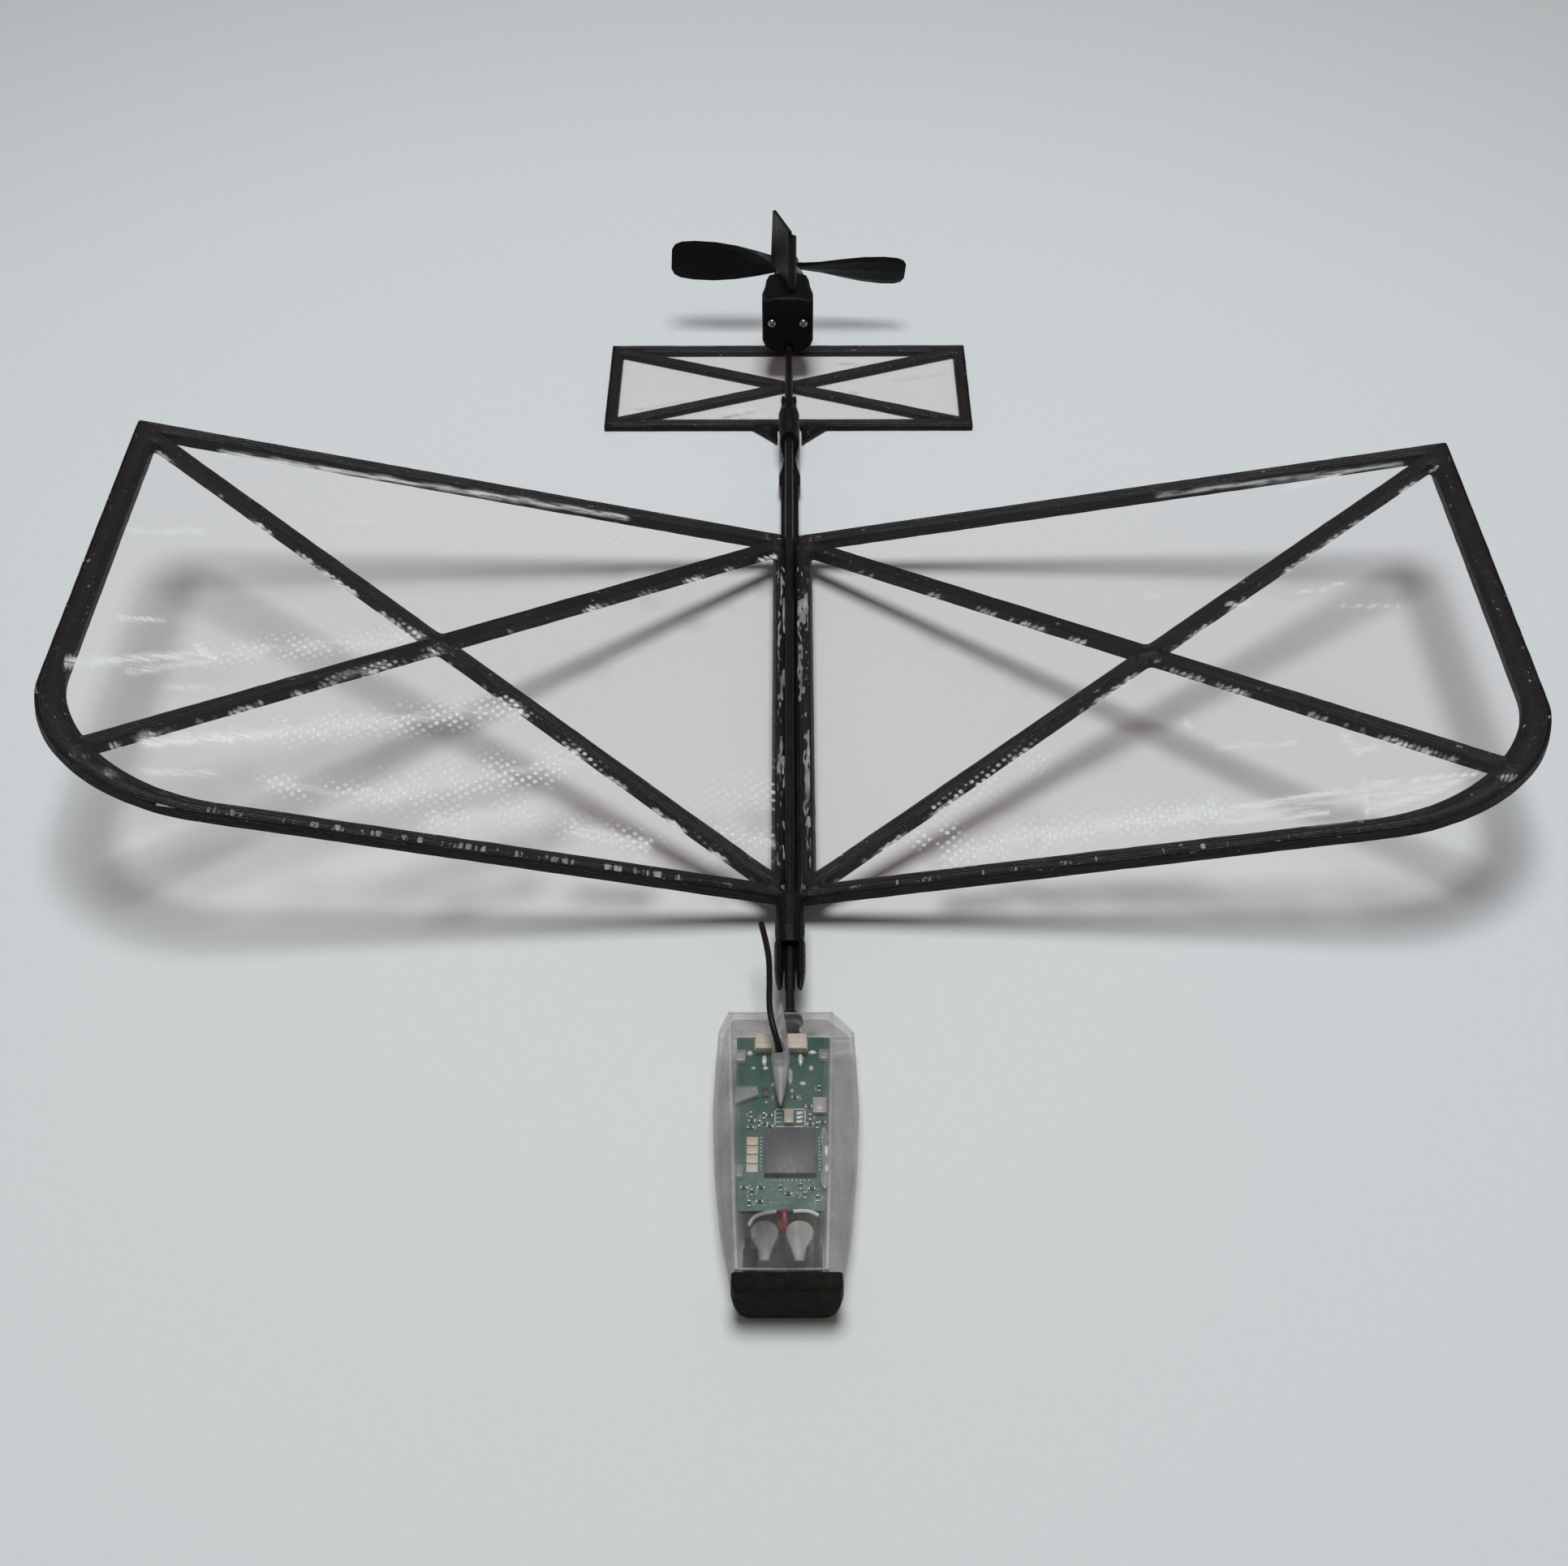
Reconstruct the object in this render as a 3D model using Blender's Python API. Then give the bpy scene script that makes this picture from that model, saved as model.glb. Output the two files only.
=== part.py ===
"""Rubber band plane: a glider airframe with a slide-in electric power module.

Every number is in millimetres, measured from the carbon rod (X = 0), with Z up
from the ground; the nose points to -Y.  SHIFT_X and SHIFT_Y then centre the
bounding box, and MM turns the result into metres.
"""
import math

import bmesh
import bpy
from mathutils import Matrix, Vector

MM = 0.001
SHIFT_X = -1.08
SHIFT_Y = -23.25

GAP = 0.3                  # clearance between neighbouring pieces

# carbon rod
ROD_Z = 6.6
ROD_RADIUS = 0.7
ROD_BORE = 0.45
ROD_FRONT = -45.2
ROD_REAR = 109.7
CLIP_BORE = 0.79           # running fit of the rod in its clips

# wing panels
WING_FRONT = -21.5
WING_REAR = 56.0
WING_LENGTH = 106.0
WING_ROOT_Z = 5.6
WING_BAR = 2.1
WING_TIP_BAR = 3.4
ROOT_RIB = 2.4
LEFT_ROOT_X = 0.2
RIGHT_ROOT_X = 1.0
LEFT_DIHEDRAL = math.radians(13.22)
RIGHT_DIHEDRAL = math.radians(10.47)
FILM = 0.25                # modelled thickness of the covering

# stabilizer
TAIL_FRONT = 92.4
TAIL_REAR = 117.9
TAIL_LEFT = -33.9
TAIL_RIGHT = 33.7
TAIL_BAR = 2.15
TAIL_THICK = 0.9

# motor unit
MOTOR_Z = 13.3
HOUSING_FRONT = 108.6
HOUSING_REAR = 117.4
MOTOR_RADIUS = 3.0
PROP_Y = 126.1
PROP_RADIUS = 22.3
PROP_REST_ANGLE = math.radians(3.6)

# rudder
RUDDER_X = 0.55
RUDDER_Y = 111.0
RUDDER_BOTTOM = 17.8
RUDDER_TOP = 29.1
RUDDER_REST_ANGLE = math.radians(21.6)

# pod
POD_WALL = 0.7
POD_SPLIT_Z = 3.9
BOARD_TOP = 7.0
BOARD_THICK = 0.8
PART_Z = BOARD_TOP + 0.25


# ------------------------------------------------------------------ helpers
def clear_scene():
    for obj in list(bpy.data.objects):
        bpy.data.objects.remove(obj, do_unlink=True)


def material(name, colour, rough=0.5, metal=0.0, clear=0.0):
    mat = bpy.data.materials.new(name)
    mat.use_nodes = True
    shader = mat.node_tree.nodes["Principled BSDF"]
    shader.inputs["Base Color"].default_value = (*colour, 1.0)
    shader.inputs["Roughness"].default_value = rough
    shader.inputs["Metallic"].default_value = metal
    shader.inputs["Transmission Weight"].default_value = clear
    mat.diffuse_color = (*colour, 1.0)
    return mat


def add_piece(name, bm, mat, origin=(0.0, 0.0, 0.0), smooth=40.0):
    """Turn a bmesh drawn in millimetres into a named object in metres."""
    bmesh.ops.remove_doubles(bm, verts=bm.verts[:], dist=0.002)
    bmesh.ops.recalc_face_normals(bm, faces=bm.faces[:])
    place = Vector(origin)
    bm.transform(Matrix.Translation(-place))
    bm.transform(Matrix.Scale(MM, 4))
    limit = math.radians(smooth)
    for face in bm.faces:
        face.smooth = smooth > 0.0
    for edge in bm.edges:
        if len(edge.link_faces) == 2 and edge.calc_face_angle(0.0) > limit:
            edge.smooth = False
    mesh = bpy.data.meshes.new(name)
    bm.to_mesh(mesh)
    bm.free()
    mesh.materials.append(mat)
    obj = bpy.data.objects.new(name, mesh)
    shift = Vector((SHIFT_X, SHIFT_Y, 0.0))
    moved = place != Vector((0.0, 0.0, 0.0))
    if moved:
        obj.location = (place + shift) * MM
    else:
        mesh.transform(Matrix.Translation(shift * MM))
    bpy.context.scene.collection.objects.link(obj)
    return obj


def block(x0, x1, y0, y1, z0, z1, bevel=0.0):
    bm = bmesh.new()
    size = Matrix.Diagonal((x1 - x0, y1 - y0, z1 - z0, 1.0))
    centre = Matrix.Translation(((x0 + x1) / 2, (y0 + y1) / 2, (z0 + z1) / 2))
    bmesh.ops.create_cube(bm, size=1.0, matrix=centre @ size)
    if bevel > 0.0:
        bmesh.ops.bevel(bm, geom=bm.edges[:], offset=bevel, segments=2, profile=0.5,
                        affect="EDGES", material=-1)
    return bm


def prism(outline, low, high, place, holes=()):
    """Extrude a flat outline (with holes) between two heights, through place(u, v, h)."""
    bm = bmesh.new()
    for loop in [outline, *holes]:
        verts = [bm.verts.new((u, v, 0.0)) for u, v in loop]
        for i, vert in enumerate(verts):
            bm.edges.new((vert, verts[(i + 1) % len(verts)]))
    bmesh.ops.triangle_fill(bm, use_beauty=True, edges=bm.edges[:])
    grown = bmesh.ops.extrude_face_region(bm, geom=bm.faces[:])
    top = {item for item in grown["geom"] if isinstance(item, bmesh.types.BMVert)}
    for vert in bm.verts:
        height = high if vert in top else low
        vert.co = place(vert.co.x, vert.co.y, height)
    return bm


def lathe(profile, x, z, sides=24, closed=False):
    """Turn (y, radius) points about the Y axis through x, z; closed makes a tube."""
    bm = bmesh.new()
    rings = []
    for y, radius in profile:
        if radius <= 0.0:
            rings.append([bm.verts.new((x, y, z))])
            continue
        ring = []
        for i in range(sides):
            angle = 2.0 * math.pi * i / sides
            ring.append(bm.verts.new((x + radius * math.cos(angle), y, z + radius * math.sin(angle))))
        rings.append(ring)
    pairs = list(zip(rings, rings[1:]))
    if closed:
        pairs.append((rings[-1], rings[0]))
    for first, second in pairs:
        for i in range(sides):
            j = (i + 1) % sides
            if len(first) == 1:
                bm.faces.new((first[0], second[i], second[j]))
            elif len(second) == 1:
                bm.faces.new((first[i], second[0], first[j]))
            else:
                bm.faces.new((first[i], second[i], second[j], first[j]))
    return bm


def loft(sections, caps=True):
    """Skin a list of closed loops with the same number of points."""
    bm = bmesh.new()
    rings = [[bm.verts.new(point) for point in loop] for loop in sections]
    count = len(rings[0])
    for first, second in zip(rings, rings[1:]):
        for i in range(count):
            j = (i + 1) % count
            bm.faces.new((first[i], first[j], second[j], second[i]))
    if caps:
        bm.faces.new(rings[0][::-1])
        bm.faces.new(rings[-1])
    return bm


def smooth_path(points, steps=5):
    """Catmull-Rom curve through the given points."""
    pts = [Vector(p) for p in points]
    pts = [2 * pts[0] - pts[1], *pts, 2 * pts[-1] - pts[-2]]
    path = []
    for i in range(1, len(pts) - 2):
        p0, p1, p2, p3 = pts[i - 1:i + 3]
        for k in range(steps):
            t = k / steps
            curve = 2 * p1 + (p2 - p0) * t
            curve += (2 * p0 - 5 * p1 + 4 * p2 - p3) * t * t
            curve += (3 * p1 - p0 - 3 * p2 + p3) * t * t * t
            path.append(curve * 0.5)
    path.append(pts[-2])
    return path


def wire(points, radius, sides=10, steps=5):
    """Round wire along a smooth path."""
    path = smooth_path(points, steps)
    normal = Vector((1.0, 0.0, 0.0))
    sections = []
    for i, point in enumerate(path):
        ahead = path[min(i + 1, len(path) - 1)] - path[max(i - 1, 0)]
        ahead.normalize()
        normal = (normal - ahead * normal.dot(ahead)).normalized()
        side = ahead.cross(normal)
        loop = []
        for k in range(sides):
            angle = 2.0 * math.pi * k / sides
            loop.append(point + (normal * math.cos(angle) + side * math.sin(angle)) * radius)
        sections.append(loop)
    return loft(sections)


def combine(base, other, operation):
    """Boolean of two bmeshes; both are used up and one clean bmesh comes back."""
    objects = []
    for bm in (base, other):
        bmesh.ops.recalc_face_normals(bm, faces=bm.faces[:])
        mesh = bpy.data.meshes.new("boolean")
        bm.to_mesh(mesh)
        bm.free()
        obj = bpy.data.objects.new("boolean", mesh)
        bpy.context.scene.collection.objects.link(obj)
        objects.append(obj)
    modifier = objects[0].modifiers.new("boolean", "BOOLEAN")
    modifier.operation = operation
    modifier.solver = "EXACT"
    modifier.object = objects[1]
    graph = bpy.context.evaluated_depsgraph_get()
    result = bmesh.new()
    result.from_object(objects[0], graph)
    for obj in objects:
        mesh = obj.data
        bpy.data.objects.remove(obj, do_unlink=True)
        bpy.data.meshes.remove(mesh)
    return result


def clip(polygon, point, normal):
    """Keep the side of a convex polygon that the normal points to."""
    kept = []
    for i, here in enumerate(polygon):
        there = polygon[(i + 1) % len(polygon)]
        a = (here[0] - point[0]) * normal[0] + (here[1] - point[1]) * normal[1]
        b = (there[0] - point[0]) * normal[0] + (there[1] - point[1]) * normal[1]
        if a >= 0.0:
            kept.append(here)
        if (a > 0.0 > b) or (a < 0.0 < b):
            t = a / (a - b)
            kept.append((here[0] + t * (there[0] - here[0]), here[1] + t * (there[1] - here[1])))
    return kept


def cross_holes(inside, brace_a, brace_b, width):
    """The four openings that two crossing braces leave in a convex outline."""
    holes = []
    for side_a in (-1.0, 1.0):
        for side_b in (-1.0, 1.0):
            shape = inside
            for (start, end), side in ((brace_a, side_a), (brace_b, side_b)):
                run = Vector((end[0] - start[0], end[1] - start[1])).normalized()
                normal = (-run.y * side, run.x * side)
                edge = (start[0] + normal[0] * width / 2, start[1] + normal[1] * width / 2)
                shape = clip(shape, edge, normal)
            holes.append(shape)
    return holes


# ------------------------------------------------------------------ wings
def left_wing_place(s, y, h):
    c, d = math.cos(LEFT_DIHEDRAL), math.sin(LEFT_DIHEDRAL)
    return (LEFT_ROOT_X - s * c + h * d, y, WING_ROOT_Z + s * d + h * c)


def right_wing_place(s, y, h):
    c, d = math.cos(RIGHT_DIHEDRAL), math.sin(RIGHT_DIHEDRAL)
    return (RIGHT_ROOT_X + s * c - h * d, y, WING_ROOT_Z + s * d + h * c)


def wing_outline(root, tip, front, rear, centre, radii, tip_round):
    """Root and trailing edge square, with an elliptical front tip corner."""
    points = [(root, front)]
    for i in range(15):
        angle = math.pi / 2 * i / 14
        points.append((centre[0] + radii[0] * math.sin(angle), centre[1] - radii[1] * math.cos(angle)))
    points.append((tip, rear - tip_round))
    points.append((tip - tip_round, rear))
    points.append((root, rear))
    return points


def wing_frame(name, place, mat):
    outer = wing_outline(0.0, WING_LENGTH, WING_FRONT, WING_REAR, (80.4, -1.7), (25.6, 19.8), 0.5)
    inner = wing_outline(ROOT_RIB, WING_LENGTH - WING_TIP_BAR, WING_FRONT + WING_BAR,
                         WING_REAR - WING_BAR, (78.5, 1.0), (24.1, 20.4), 0.3)
    brace_a = ((2.0, -19.0), (103.0, 53.0))
    brace_b = ((2.0, 53.5), (97.5, -12.3))
    holes = cross_holes(inner, brace_a, brace_b, WING_BAR)
    return add_piece(name, prism(outer, -WING_BAR, 0.0, place, holes), mat)


def wing_film(name, place, root, mat):
    outline = wing_outline(root, WING_LENGTH - 0.5, WING_FRONT + 0.5, WING_REAR - 0.5,
                           (80.4, -1.7), (25.1, 19.3), 0.5)
    return add_piece(name, prism(outline, 0.25, 0.25 + FILM, place), mat)


# ------------------------------------------------------------------ fuselage and tail
def fuselage_bar(mat):
    widths = ((-31.0, 1.5), (57.0, 1.5), (71.7, 1.5), (72.8, 1.85), (75.0, 1.85), (79.3, 0.97),
              (81.5, 1.3), (84.0, 1.7), (88.0, 1.7), (91.5, 1.1))
    right = [(0.12 + half, y) for y, half in widths]
    left = [(0.12 - half, y) for y, half in reversed(widths)]
    bm = prism(right + left, 1.4, 3.2, lambda x, y, z: (x, y, z))
    return add_piece("fuselage_bar", bm, mat)


def clip_loop(y, radius, inner, foot_half, foot_z, sides=24):
    """Outer and inner loops of a ring round the rod with a foot underneath."""
    outer = []
    bore = []
    for i in range(sides):
        angle = 2.0 * math.pi * i / sides
        c, s = math.cos(angle), math.sin(angle)
        bore.append((inner * c, y, ROD_Z + inner * s))
        if s < -0.6:
            outer.append((foot_half * c / 0.8, y, foot_z))
        else:
            outer.append((radius * c, y, ROD_Z + radius * s))
    return outer, bore


def ring_loft(loops):
    """Skin paired outer and inner loops into a tube; returns it with its last cap."""
    bm = bmesh.new()
    rings = [[[bm.verts.new(p) for p in loop] for loop in pair] for pair in loops]
    count = len(rings[0][0])
    for first, second in zip(rings, rings[1:]):
        for i in range(count):
            j = (i + 1) % count
            bm.faces.new((first[0][i], first[0][j], second[0][j], second[0][i]))
            bm.faces.new((first[1][j], first[1][i], second[1][i], second[1][j]))
    end = []
    for i in range(count):
        j = (i + 1) % count
        first, last = rings[0], rings[-1]
        bm.faces.new((first[0][j], first[0][i], first[1][i], first[1][j]))
        end.append(bm.faces.new((last[0][i], last[0][j], last[1][j], last[1][i])))
    return bm, end


def grow_prongs(bm, end, groups, steps):
    """Extend some of a tube's end faces into prongs: steps are (dy, width, height)."""
    for group in groups:
        faces = [end[i] for i in group]
        for dy, grow_x, grow_z in steps:
            grown = bmesh.ops.extrude_face_region(bm, geom=faces)["geom"]
            inside = [face for face in faces if face.is_valid]
            bmesh.ops.delete(bm, geom=inside, context="FACES")
            faces = [item for item in grown if isinstance(item, bmesh.types.BMFace)]
            verts = [item for item in grown if isinstance(item, bmesh.types.BMVert)]
            middle = sum((v.co for v in verts), Vector()) / len(verts)
            for vert in verts:
                offset = vert.co - middle
                vert.co = middle + Vector((offset.x * grow_x, offset.y + dy, offset.z * grow_z))


def rod_clip_front(mat):
    loops = []
    for y, radius in ((-22.3, 1.75), (-23.2, 2.05), (-28.5, 2.05), (-31.0, 1.85)):
        loops.append(clip_loop(y, radius, CLIP_BORE, 1.3, 3.5))
    bm, end = ring_loft(loops)
    groups = ([22, 23, 0, 1], [10, 11, 12, 13])
    grow_prongs(bm, end, groups, ((-3.0, 0.8, 1.15), (-2.6, 0.7, 0.9), (-1.0, 0.7, 0.55)))
    return add_piece("front_rod_clip", bm, mat)


def rod_clip_rear(mat):
    loops = []
    for y, radius in ((81.2, 1.5), (82.4, 1.6), (84.0, 1.85), (88.0, 1.85), (90.0, 1.4)):
        loops.append(clip_loop(y, radius, CLIP_BORE, 1.15, 3.5))
    bm, end = ring_loft(loops)
    groups = ([22, 23, 0, 1], [10, 11, 12, 13])
    grow_prongs(bm, end, groups, ((1.6, 0.8, 0.9), (0.6, 1.3, 1.2), (0.8, 0.8, 0.8)))
    return add_piece("rear_rod_clip", bm, mat)


def stabilizer_frame(mat):
    outer = [(TAIL_LEFT, TAIL_FRONT), (-6.7, TAIL_FRONT), (-2.15, 88.2), (-2.15, TAIL_FRONT),
             (2.35, TAIL_FRONT), (2.35, 88.0), (6.85, TAIL_FRONT), (TAIL_RIGHT, TAIL_FRONT),
             (TAIL_RIGHT, TAIL_REAR), (TAIL_LEFT, TAIL_REAR)]
    x0, x1 = TAIL_LEFT + TAIL_BAR, TAIL_RIGHT - TAIL_BAR
    y0, y1 = TAIL_FRONT + TAIL_BAR, TAIL_REAR - TAIL_BAR
    inner = [(x0, y0), (x1, y0), (x1, y1), (x0, y1)]
    brace_a = ((x0 + 1.0, y0), (x1 - 1.0, y1))
    brace_b = ((x0 + 1.0, y1), (x1 - 1.0, y0))
    holes = cross_holes(inner, brace_a, brace_b, 2.0)
    bm = prism(outer, 0.0, TAIL_THICK, lambda x, y, z: (x, y, z), holes)
    return add_piece("stabilizer_frame", bm, mat)


def stabilizer_film(mat):
    bm = block(TAIL_LEFT + 0.5, TAIL_RIGHT - 0.5, TAIL_FRONT + 1.4, TAIL_REAR - 0.5,
               TAIL_THICK + 0.25, TAIL_THICK + 0.5)
    return add_piece("stabilizer_film", bm, mat)


def tail_joint_strip(mat):
    return add_piece("tail_joint_strip", block(-1.8, 2.0, 73.0, 92.0, 0.35, 1.0), mat)


# ------------------------------------------------------------------ power module: rod
def carbon_rod(mat):
    profile = [(ROD_FRONT, ROD_RADIUS), (ROD_REAR, ROD_RADIUS), (ROD_REAR, ROD_BORE), (ROD_FRONT, ROD_BORE)]
    return add_piece("carbon_rod", lathe(profile, 0.0, ROD_Z, 20, closed=True), mat)


def lead_bundle(mat):
    points = [(0.0, ROD_FRONT - 0.2, ROD_Z), (0.0, 0.0, ROD_Z), (0.0, ROD_REAR + 0.5, ROD_Z)]
    return add_piece("lead_bundle", wire(points, 0.18, 8, 3), mat)


def rod_socket(mat):
    profile = [(-42.2, 0.98), (-42.2, 1.5), (-42.9, 1.75), (-43.2, 1.75), (-43.2, 1.25),
               (-44.9, 1.25), (-44.9, 0.98)]
    return add_piece("rod_socket", lathe(profile, 0.0, ROD_Z, 20, closed=True), mat)


# ------------------------------------------------------------------ power module: pod
POD_STATIONS = (
    # y, top z, top left, top right, side left, side right
    (-43.5, 9.5, -8.0, 5.6, -9.5, 8.5),
    (-55.0, 9.2, -7.6, 5.3, -9.9, 8.85),
    (-64.0, 8.95, -7.2, 5.0, -9.45, 8.3),
    (-72.0, 8.7, -6.9, 4.75, -8.6, 7.5),
    (-77.0, 8.5, -6.6, 4.55, -7.6, 6.7),
    (-79.2, 8.4, -6.5, 4.45, -7.2, 6.4),
)


def upper_path(station, inset):
    """Arch of the upper shell from the left split line over the top to the right one."""
    y, top, left, right, low_left, low_right = station
    top -= inset
    left += inset * 0.9
    right -= inset * 0.9
    low_left += inset
    low_right -= inset
    low = POD_SPLIT_Z + 0.15
    path = [(low_left, low), (low_left + 0.02, 4.7)]
    path.append((low_left + (left - low_left) * 0.5, 4.7 + (top - 4.7) * 0.52))
    path.append((left - 0.16, top - 0.6))
    path.append((left + 0.02, top - 0.2))
    path.append((left + 0.5, top))
    path.append((right - 0.5, top))
    path.append((right - 0.02, top - 0.2))
    path.append((right + 0.16, top - 0.6))
    path.append((low_right + (right - low_right) * 0.5, 4.7 + (top - 4.7) * 0.52))
    path += [(low_right - 0.02, 4.7), (low_right, low)]
    return [(x, y, z) for x, z in path]


def lower_path(station, inset):
    """Trough of the lower shell from the left split line under the belly to the right one."""
    y, _, _, _, low_left, low_right = station
    rim = POD_SPLIT_Z - 0.15
    left, right = low_left + inset, low_right - inset
    path = [(left, rim), (left + 0.15, 2.7), (left + 1.0, 0.9 + inset * 0.6)]
    path += [(left + 2.4, inset), (right - 2.4, inset)]
    path += [(right - 1.0, 0.9 + inset * 0.6), (right - 0.15, 2.7), (right, rim)]
    return [(x, y, z) for x, z in path]


def half_shell(path_of):
    """Thin shell, open at its rim and front, closed by a wall at the rear."""
    bm = bmesh.new()
    outer = [[bm.verts.new(p) for p in path_of(s, 0.0)] for s in POD_STATIONS]
    inner = []
    for index, station in enumerate(POD_STATIONS):
        y = station[0] - (POD_WALL if index == 0 else 0.0)
        inner.append([bm.verts.new((p[0], y, p[2])) for p in path_of(station, POD_WALL)])
    for grid in (outer, inner):
        for first, second in zip(grid, grid[1:]):
            for i in range(len(first) - 1):
                bm.faces.new((first[i], first[i + 1], second[i + 1], second[i]))
        bm.faces.new(grid[0])
    for a, b in ((0, 0), (-1, -1)):
        for j in range(len(outer) - 1):
            bm.faces.new((outer[j][a], outer[j + 1][a], inner[j + 1][b], inner[j][b]))
    bm.faces.new((outer[0][0], outer[0][-1], inner[0][-1], inner[0][0]))
    for i in range(len(outer[-1]) - 1):
        bm.faces.new((outer[-1][i], outer[-1][i + 1], inner[-1][i + 1], inner[-1][i]))
    return bm


ANTENNA_PATH = (
    (-1.25, -56.3, 7.75), (-1.25, -54.3, 7.75), (-1.25, -52.6, 8.2), (-1.25, -51.3, 9.3),
    (-1.3, -50.3, 10.8), (-1.95, -48.4, 12.1), (-2.45, -46.3, 12.6), (-2.65, -44.0, 12.6),
    (-2.65, -41.0, 12.4), (-2.75, -37.0, 11.8), (-3.15, -33.4, 10.8), (-3.85, -29.2, 9.7),
)
ANTENNA_RADIUS = 0.4


def pod_upper_shell(mat):
    shell = half_shell(upper_path)
    hole = lathe([(-42.5, 0.0), (-42.5, 1.55), (-45.5, 1.55), (-45.5, 0.0)], 0.0, ROD_Z, 24)
    shell = combine(shell, hole, "DIFFERENCE")
    drill = wire(ANTENNA_PATH[1:6], 0.7, 16, 3)
    return add_piece("pod_upper_shell", combine(shell, drill, "DIFFERENCE"), mat, smooth=30.0)


def pod_lower_shell(mat):
    return add_piece("pod_lower_shell", half_shell(lower_path), mat, smooth=30.0)


def pod_spine(mat):
    """Leaf-shaped clear ridge that grips the aerial."""
    half = ((-42.6, 0.15), (-45.0, 0.6), (-48.0, 1.0), (-50.6, 1.25), (-53.0, 1.0), (-56.0, 0.5), (-57.6, 0.15))
    sections = []
    for y, w in half:
        low = 9.5 - (-43.5 - y) * 0.027 + 0.27
        rise = 0.5 + 1.1 * min(1.0, w)
        sections.append([(-1.2 - w, y, low), (-1.2 + w, y, low), (-1.2 + w * 0.8, y, low + rise * 0.6),
                         (-1.2 + w * 0.3, y, low + rise), (-1.2 - w * 0.3, y, low + rise),
                         (-1.2 - w * 0.8, y, low + rise * 0.6)])
    drill = wire(ANTENNA_PATH[1:7], 0.7, 16, 3)
    return add_piece("pod_spine", combine(loft(sections), drill, "DIFFERENCE"), mat, smooth=50.0)


def bumper(mat):
    """Rubber nose cap with two tabs that reach back into the pod."""
    def section(y, grow, low):
        left, right, top = -7.2 - grow, 6.4 + grow, 8.35 + grow * 0.5
        loop = [(left + 2.2, low), (right - 2.2, low), (right - 1.1, low + 0.7), (right - 0.3, 3.2),
                (right - 0.1, 4.7), (right - 0.3, top - 0.4), (right - 0.65, top)]
        loop += [(left + 0.65, top), (left + 0.3, top - 0.4), (left + 0.1, 4.7),
                 (left + 0.3, 3.2), (left + 1.1, low + 0.7)]
        return [(x, y, z) for x, z in loop]
    body = loft([section(-79.5, 0.0, 0.0), section(-80.9, 0.0, 0.2), section(-81.7, -0.4, 0.8)])
    tabs = (block(-5.7, -4.1, -79.9, -75.6, 2.0, 6.8), block(2.9, 3.8, -79.9, -75.0, 2.0, 6.8))
    for tab in tabs:
        body = combine(body, tab, "UNION")
    return add_piece("bumper", body, mat, smooth=35.0)


def circuit_board(mat):
    outline = [(-6.9, -45.8), (5.2, -45.8), (5.0, -62.0), (4.5, -70.8), (-6.45, -70.8), (-6.9, -62.0)]
    bm = prism(outline, BOARD_TOP - BOARD_THICK, BOARD_TOP, lambda x, y, z: (x, y, z))
    return add_piece("circuit_board", bm, mat)


def board_parts(chip_mat, can_mat, tan_mat, plug_mat):
    add_piece("main_chip", block(-3.2, 3.2, -66.2, -59.8, PART_Z, 7.95, 0.06), chip_mat)
    add_piece("crystal_can", block(2.85, 4.6, -57.5, -55.2, PART_Z, 7.75, 0.12), can_mat)
    add_piece("rf_chip", block(-0.75, 0.45, -59.0, -57.0, PART_Z, 7.8, 0.06), tan_mat)
    add_piece("motor_connector", block(-4.45, -2.1, -48.3, -45.9, PART_Z, 8.35, 0.15), plug_mat)
    add_piece("rudder_connector", block(-0.35, 2.15, -48.3, -45.9, PART_Z, 8.35, 0.15), plug_mat)


def battery(mat):
    return add_piece("battery", block(-5.7, 4.6, -69.0, -47.5, 1.2, 5.8, 0.5), mat)


def battery_leads(red_mat, black_mat):
    red = [(-1.3, -69.5, 4.6), (-1.2, -71.6, 4.9), (-0.5, -72.3, 6.3), (-1.2, -71.5, 7.4), (-1.4, -70.0, 7.6)]
    black = [(0.6, -69.5, 4.6), (0.5, -71.4, 4.9), (0.2, -71.9, 6.3), (0.4, -71.3, 7.4), (0.6, -70.0, 7.6)]
    add_piece("battery_lead_red", wire(red, 0.25, 8, 4), red_mat)
    add_piece("battery_lead_black", wire(black, 0.25, 8, 4), black_mat)


def bumper_post(name, x, lean, mat):
    """Teardrop post moulded behind the bumper."""
    outline = []
    for i in range(11):
        angle = math.pi * i / 10
        outline.append((x + 1.35 * math.cos(angle), -73.8 + 1.35 * math.sin(angle)))
    outline.append((x - 0.55 + lean, -77.6))
    outline.append((x + 0.55 + lean, -77.6))
    bm = prism(outline, 1.1, 7.4, lambda u, v, z: (u, v, z))
    return add_piece(name, bm, mat)


def antenna_wire(mat):
    return add_piece("antenna_wire", wire(ANTENNA_PATH, ANTENNA_RADIUS, 12, 5), mat)


# ------------------------------------------------------------------ power module: motor unit
def housing_section(y, half, top, low):
    points = []
    for i in range(7):
        angle = math.pi + math.pi * i / 6
        points.append((-0.2 + half * math.cos(angle), low + 3.4 + 3.4 * math.sin(angle)))
    points.append((-0.2 + half, top - 1.6))
    points.append((-0.2 + half * 0.86, top - 0.55))
    points.append((-0.2 + half * 0.4, top - 0.05))
    points.append((-0.2, top))
    points.append((-0.2 - half * 0.4, top - 0.05))
    points.append((-0.2 - half * 0.86, top - 0.55))
    points.append((-0.2 - half, top - 1.6))
    return [(x, y, z) for x, z in points]


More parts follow.
